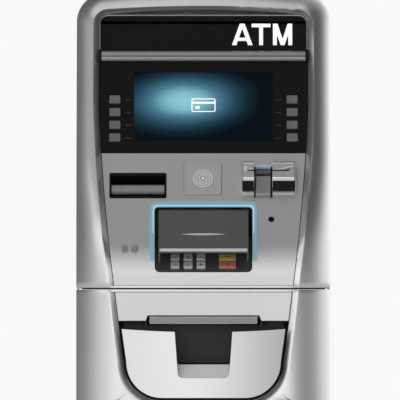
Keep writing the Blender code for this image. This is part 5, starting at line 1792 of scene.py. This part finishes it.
class MachineSizes(bpy.types.PropertyGroup):
    """Sizes of the small trim that may change without the frame."""

    trim_width: FloatProperty(name="Trim Width",
                              description="Width of the steel line round the sign", unit="LENGTH",
                              default=0.00165, min=0.0005, max=0.004)
    pictogram_width: FloatProperty(name="Pictogram Width",
                                   description="Width of the card on the screen", unit="LENGTH",
                                   default=0.038, min=0.02, max=0.08)
    speaker_radius: FloatProperty(name="Speaker Radius", description="Radius of the field of holes",
                                  unit="LENGTH", default=0.0062, min=0.003, max=0.0066)
    speaker_hole: FloatProperty(name="Speaker Hole", description="Radius of one hole",
                                unit="LENGTH", default=0.00062, min=0.0003, max=0.0008)


class MACHINE_OT_fascia(bpy.types.Operator):
    """Loft the upper front shell and the strip that closes its gap"""

    bl_idname = "machine.fascia"
    bl_label = "Fascia Shell"

    def execute(self, context):
        make_fascia_shell()
        make_seam_gasket()
        return {"FINISHED"}


class MACHINE_OT_sign(bpy.types.Operator):
    """Make the sign, its letters and the bar below"""

    bl_idname = "machine.sign"
    bl_label = "Sign and Brow"

    def execute(self, context):
        make_sign()
        make_brow()
        return {"FINISHED"}


class MACHINE_OT_display(bpy.types.Operator):
    """Make the display, its surround and the function keys"""

    bl_idname = "machine.display"
    bl_label = "Display"

    def execute(self, context):
        make_display()
        return {"FINISHED"}


class MACHINE_OT_panel(bpy.types.Operator):
    """Make the bent panel with its openings"""

    bl_idname = "machine.panel"
    bl_label = "Control Panel"

    def execute(self, context):
        make_control_panel()
        return {"FINISHED"}


class MACHINE_OT_devices(bpy.types.Operator):
    """Make the receipt slot, reader tile, card slot and audio parts"""

    bl_idname = "machine.devices"
    bl_label = "Devices"

    def execute(self, context):
        make_receipt_slot()
        make_contactless_pad()
        make_card_slot()
        make_audio()
        return {"FINISHED"}


class MACHINE_OT_pin_pad(bpy.types.Operator):
    """Make the keys, the hood and the light round them"""

    bl_idname = "machine.pin_pad"
    bl_label = "PIN Pad"

    def execute(self, context):
        make_light_guide()
        make_pad_hood()
        make_pin_keys()
        return {"FINISHED"}


class MACHINE_OT_note_tray(bpy.types.Operator):
    """Make the tray, its surround and the note exit"""

    bl_idname = "machine.note_tray"
    bl_label = "Note Tray"

    def execute(self, context):
        make_lower_bezel()
        make_dispenser_panel()
        make_note_exit()
        make_cash_tray()
        return {"FINISHED"}


class MACHINE_OT_door(bpy.types.Operator):
    """Make the door cover, the dial and the handle"""

    bl_idname = "machine.door"
    bl_label = "Safe Door"

    def execute(self, context):
        make_door_cover()
        make_door_locks()
        return {"FINISHED"}


class MACHINE_OT_cabinet(bpy.types.Operator):
    """Make the cabinet and the safe"""

    bl_idname = "machine.cabinet"
    bl_label = "Cabinet and Safe"

    def execute(self, context):
        make_cabinet()
        make_safe()
        make_seals()
        return {"FINISHED"}


class MACHINE_OT_modules(bpy.types.Operator):
    """Make the finish of the modules inside"""

    bl_idname = "machine.modules"
    bl_label = "Inner Modules"

    def execute(self, context):
        make_modules()
        return {"FINISHED"}


class MACHINE_OT_stage(bpy.types.Operator):
    """Make the floor, the lights and the camera"""

    bl_idname = "machine.stage"
    bl_label = "Studio"

    def execute(self, context):
        make_stage()
        return {"FINISHED"}


class MACHINE_PT_pieces(bpy.types.Panel):
    """Colours, sizes and a button for each group of pieces."""

    bl_label = "Cash Machine"
    bl_space_type = "VIEW_3D"
    bl_region_type = "UI"
    bl_category = "Cash Machine"

    def draw(self, context):
        for settings in (context.scene.machine_paint, context.scene.machine_sizes):
            for name in settings.__annotations__:
                self.layout.prop(settings, name)
        for operator in OPERATORS:
            self.layout.operator(operator.bl_idname)


OPERATORS = (MACHINE_OT_fascia, MACHINE_OT_sign, MACHINE_OT_display, MACHINE_OT_panel,
             MACHINE_OT_devices, MACHINE_OT_pin_pad, MACHINE_OT_note_tray, MACHINE_OT_door,
             MACHINE_OT_cabinet, MACHINE_OT_modules, MACHINE_OT_stage)
CLASSES = (MachinePaint, MachineSizes, *OPERATORS, MACHINE_PT_pieces)


def register():
    for made in CLASSES:
        bpy.utils.register_class(made)
    bpy.types.Scene.machine_paint = PointerProperty(type=MachinePaint)
    bpy.types.Scene.machine_sizes = PointerProperty(type=MachineSizes)


def unregister():
    del bpy.types.Scene.machine_sizes
    del bpy.types.Scene.machine_paint
    for made in reversed(CLASSES):
        bpy.utils.unregister_class(made)


def main():
    register()
    bpy.ops.machine.fascia()
    bpy.ops.machine.sign()
    bpy.ops.machine.display()
    bpy.ops.machine.panel()
    bpy.ops.machine.devices()
    bpy.ops.machine.pin_pad()
    bpy.ops.machine.note_tray()
    bpy.ops.machine.door()
    bpy.ops.machine.cabinet()
    bpy.ops.machine.modules()
    bpy.ops.machine.stage()
    sizes = {"cad": [list(corner) for corner in CAD_BOX], "visual": [list(c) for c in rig.bounds()]}
    with open("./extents.json", "w") as out:
        json.dump(sizes, out)


if __name__ == "__main__":
    main()
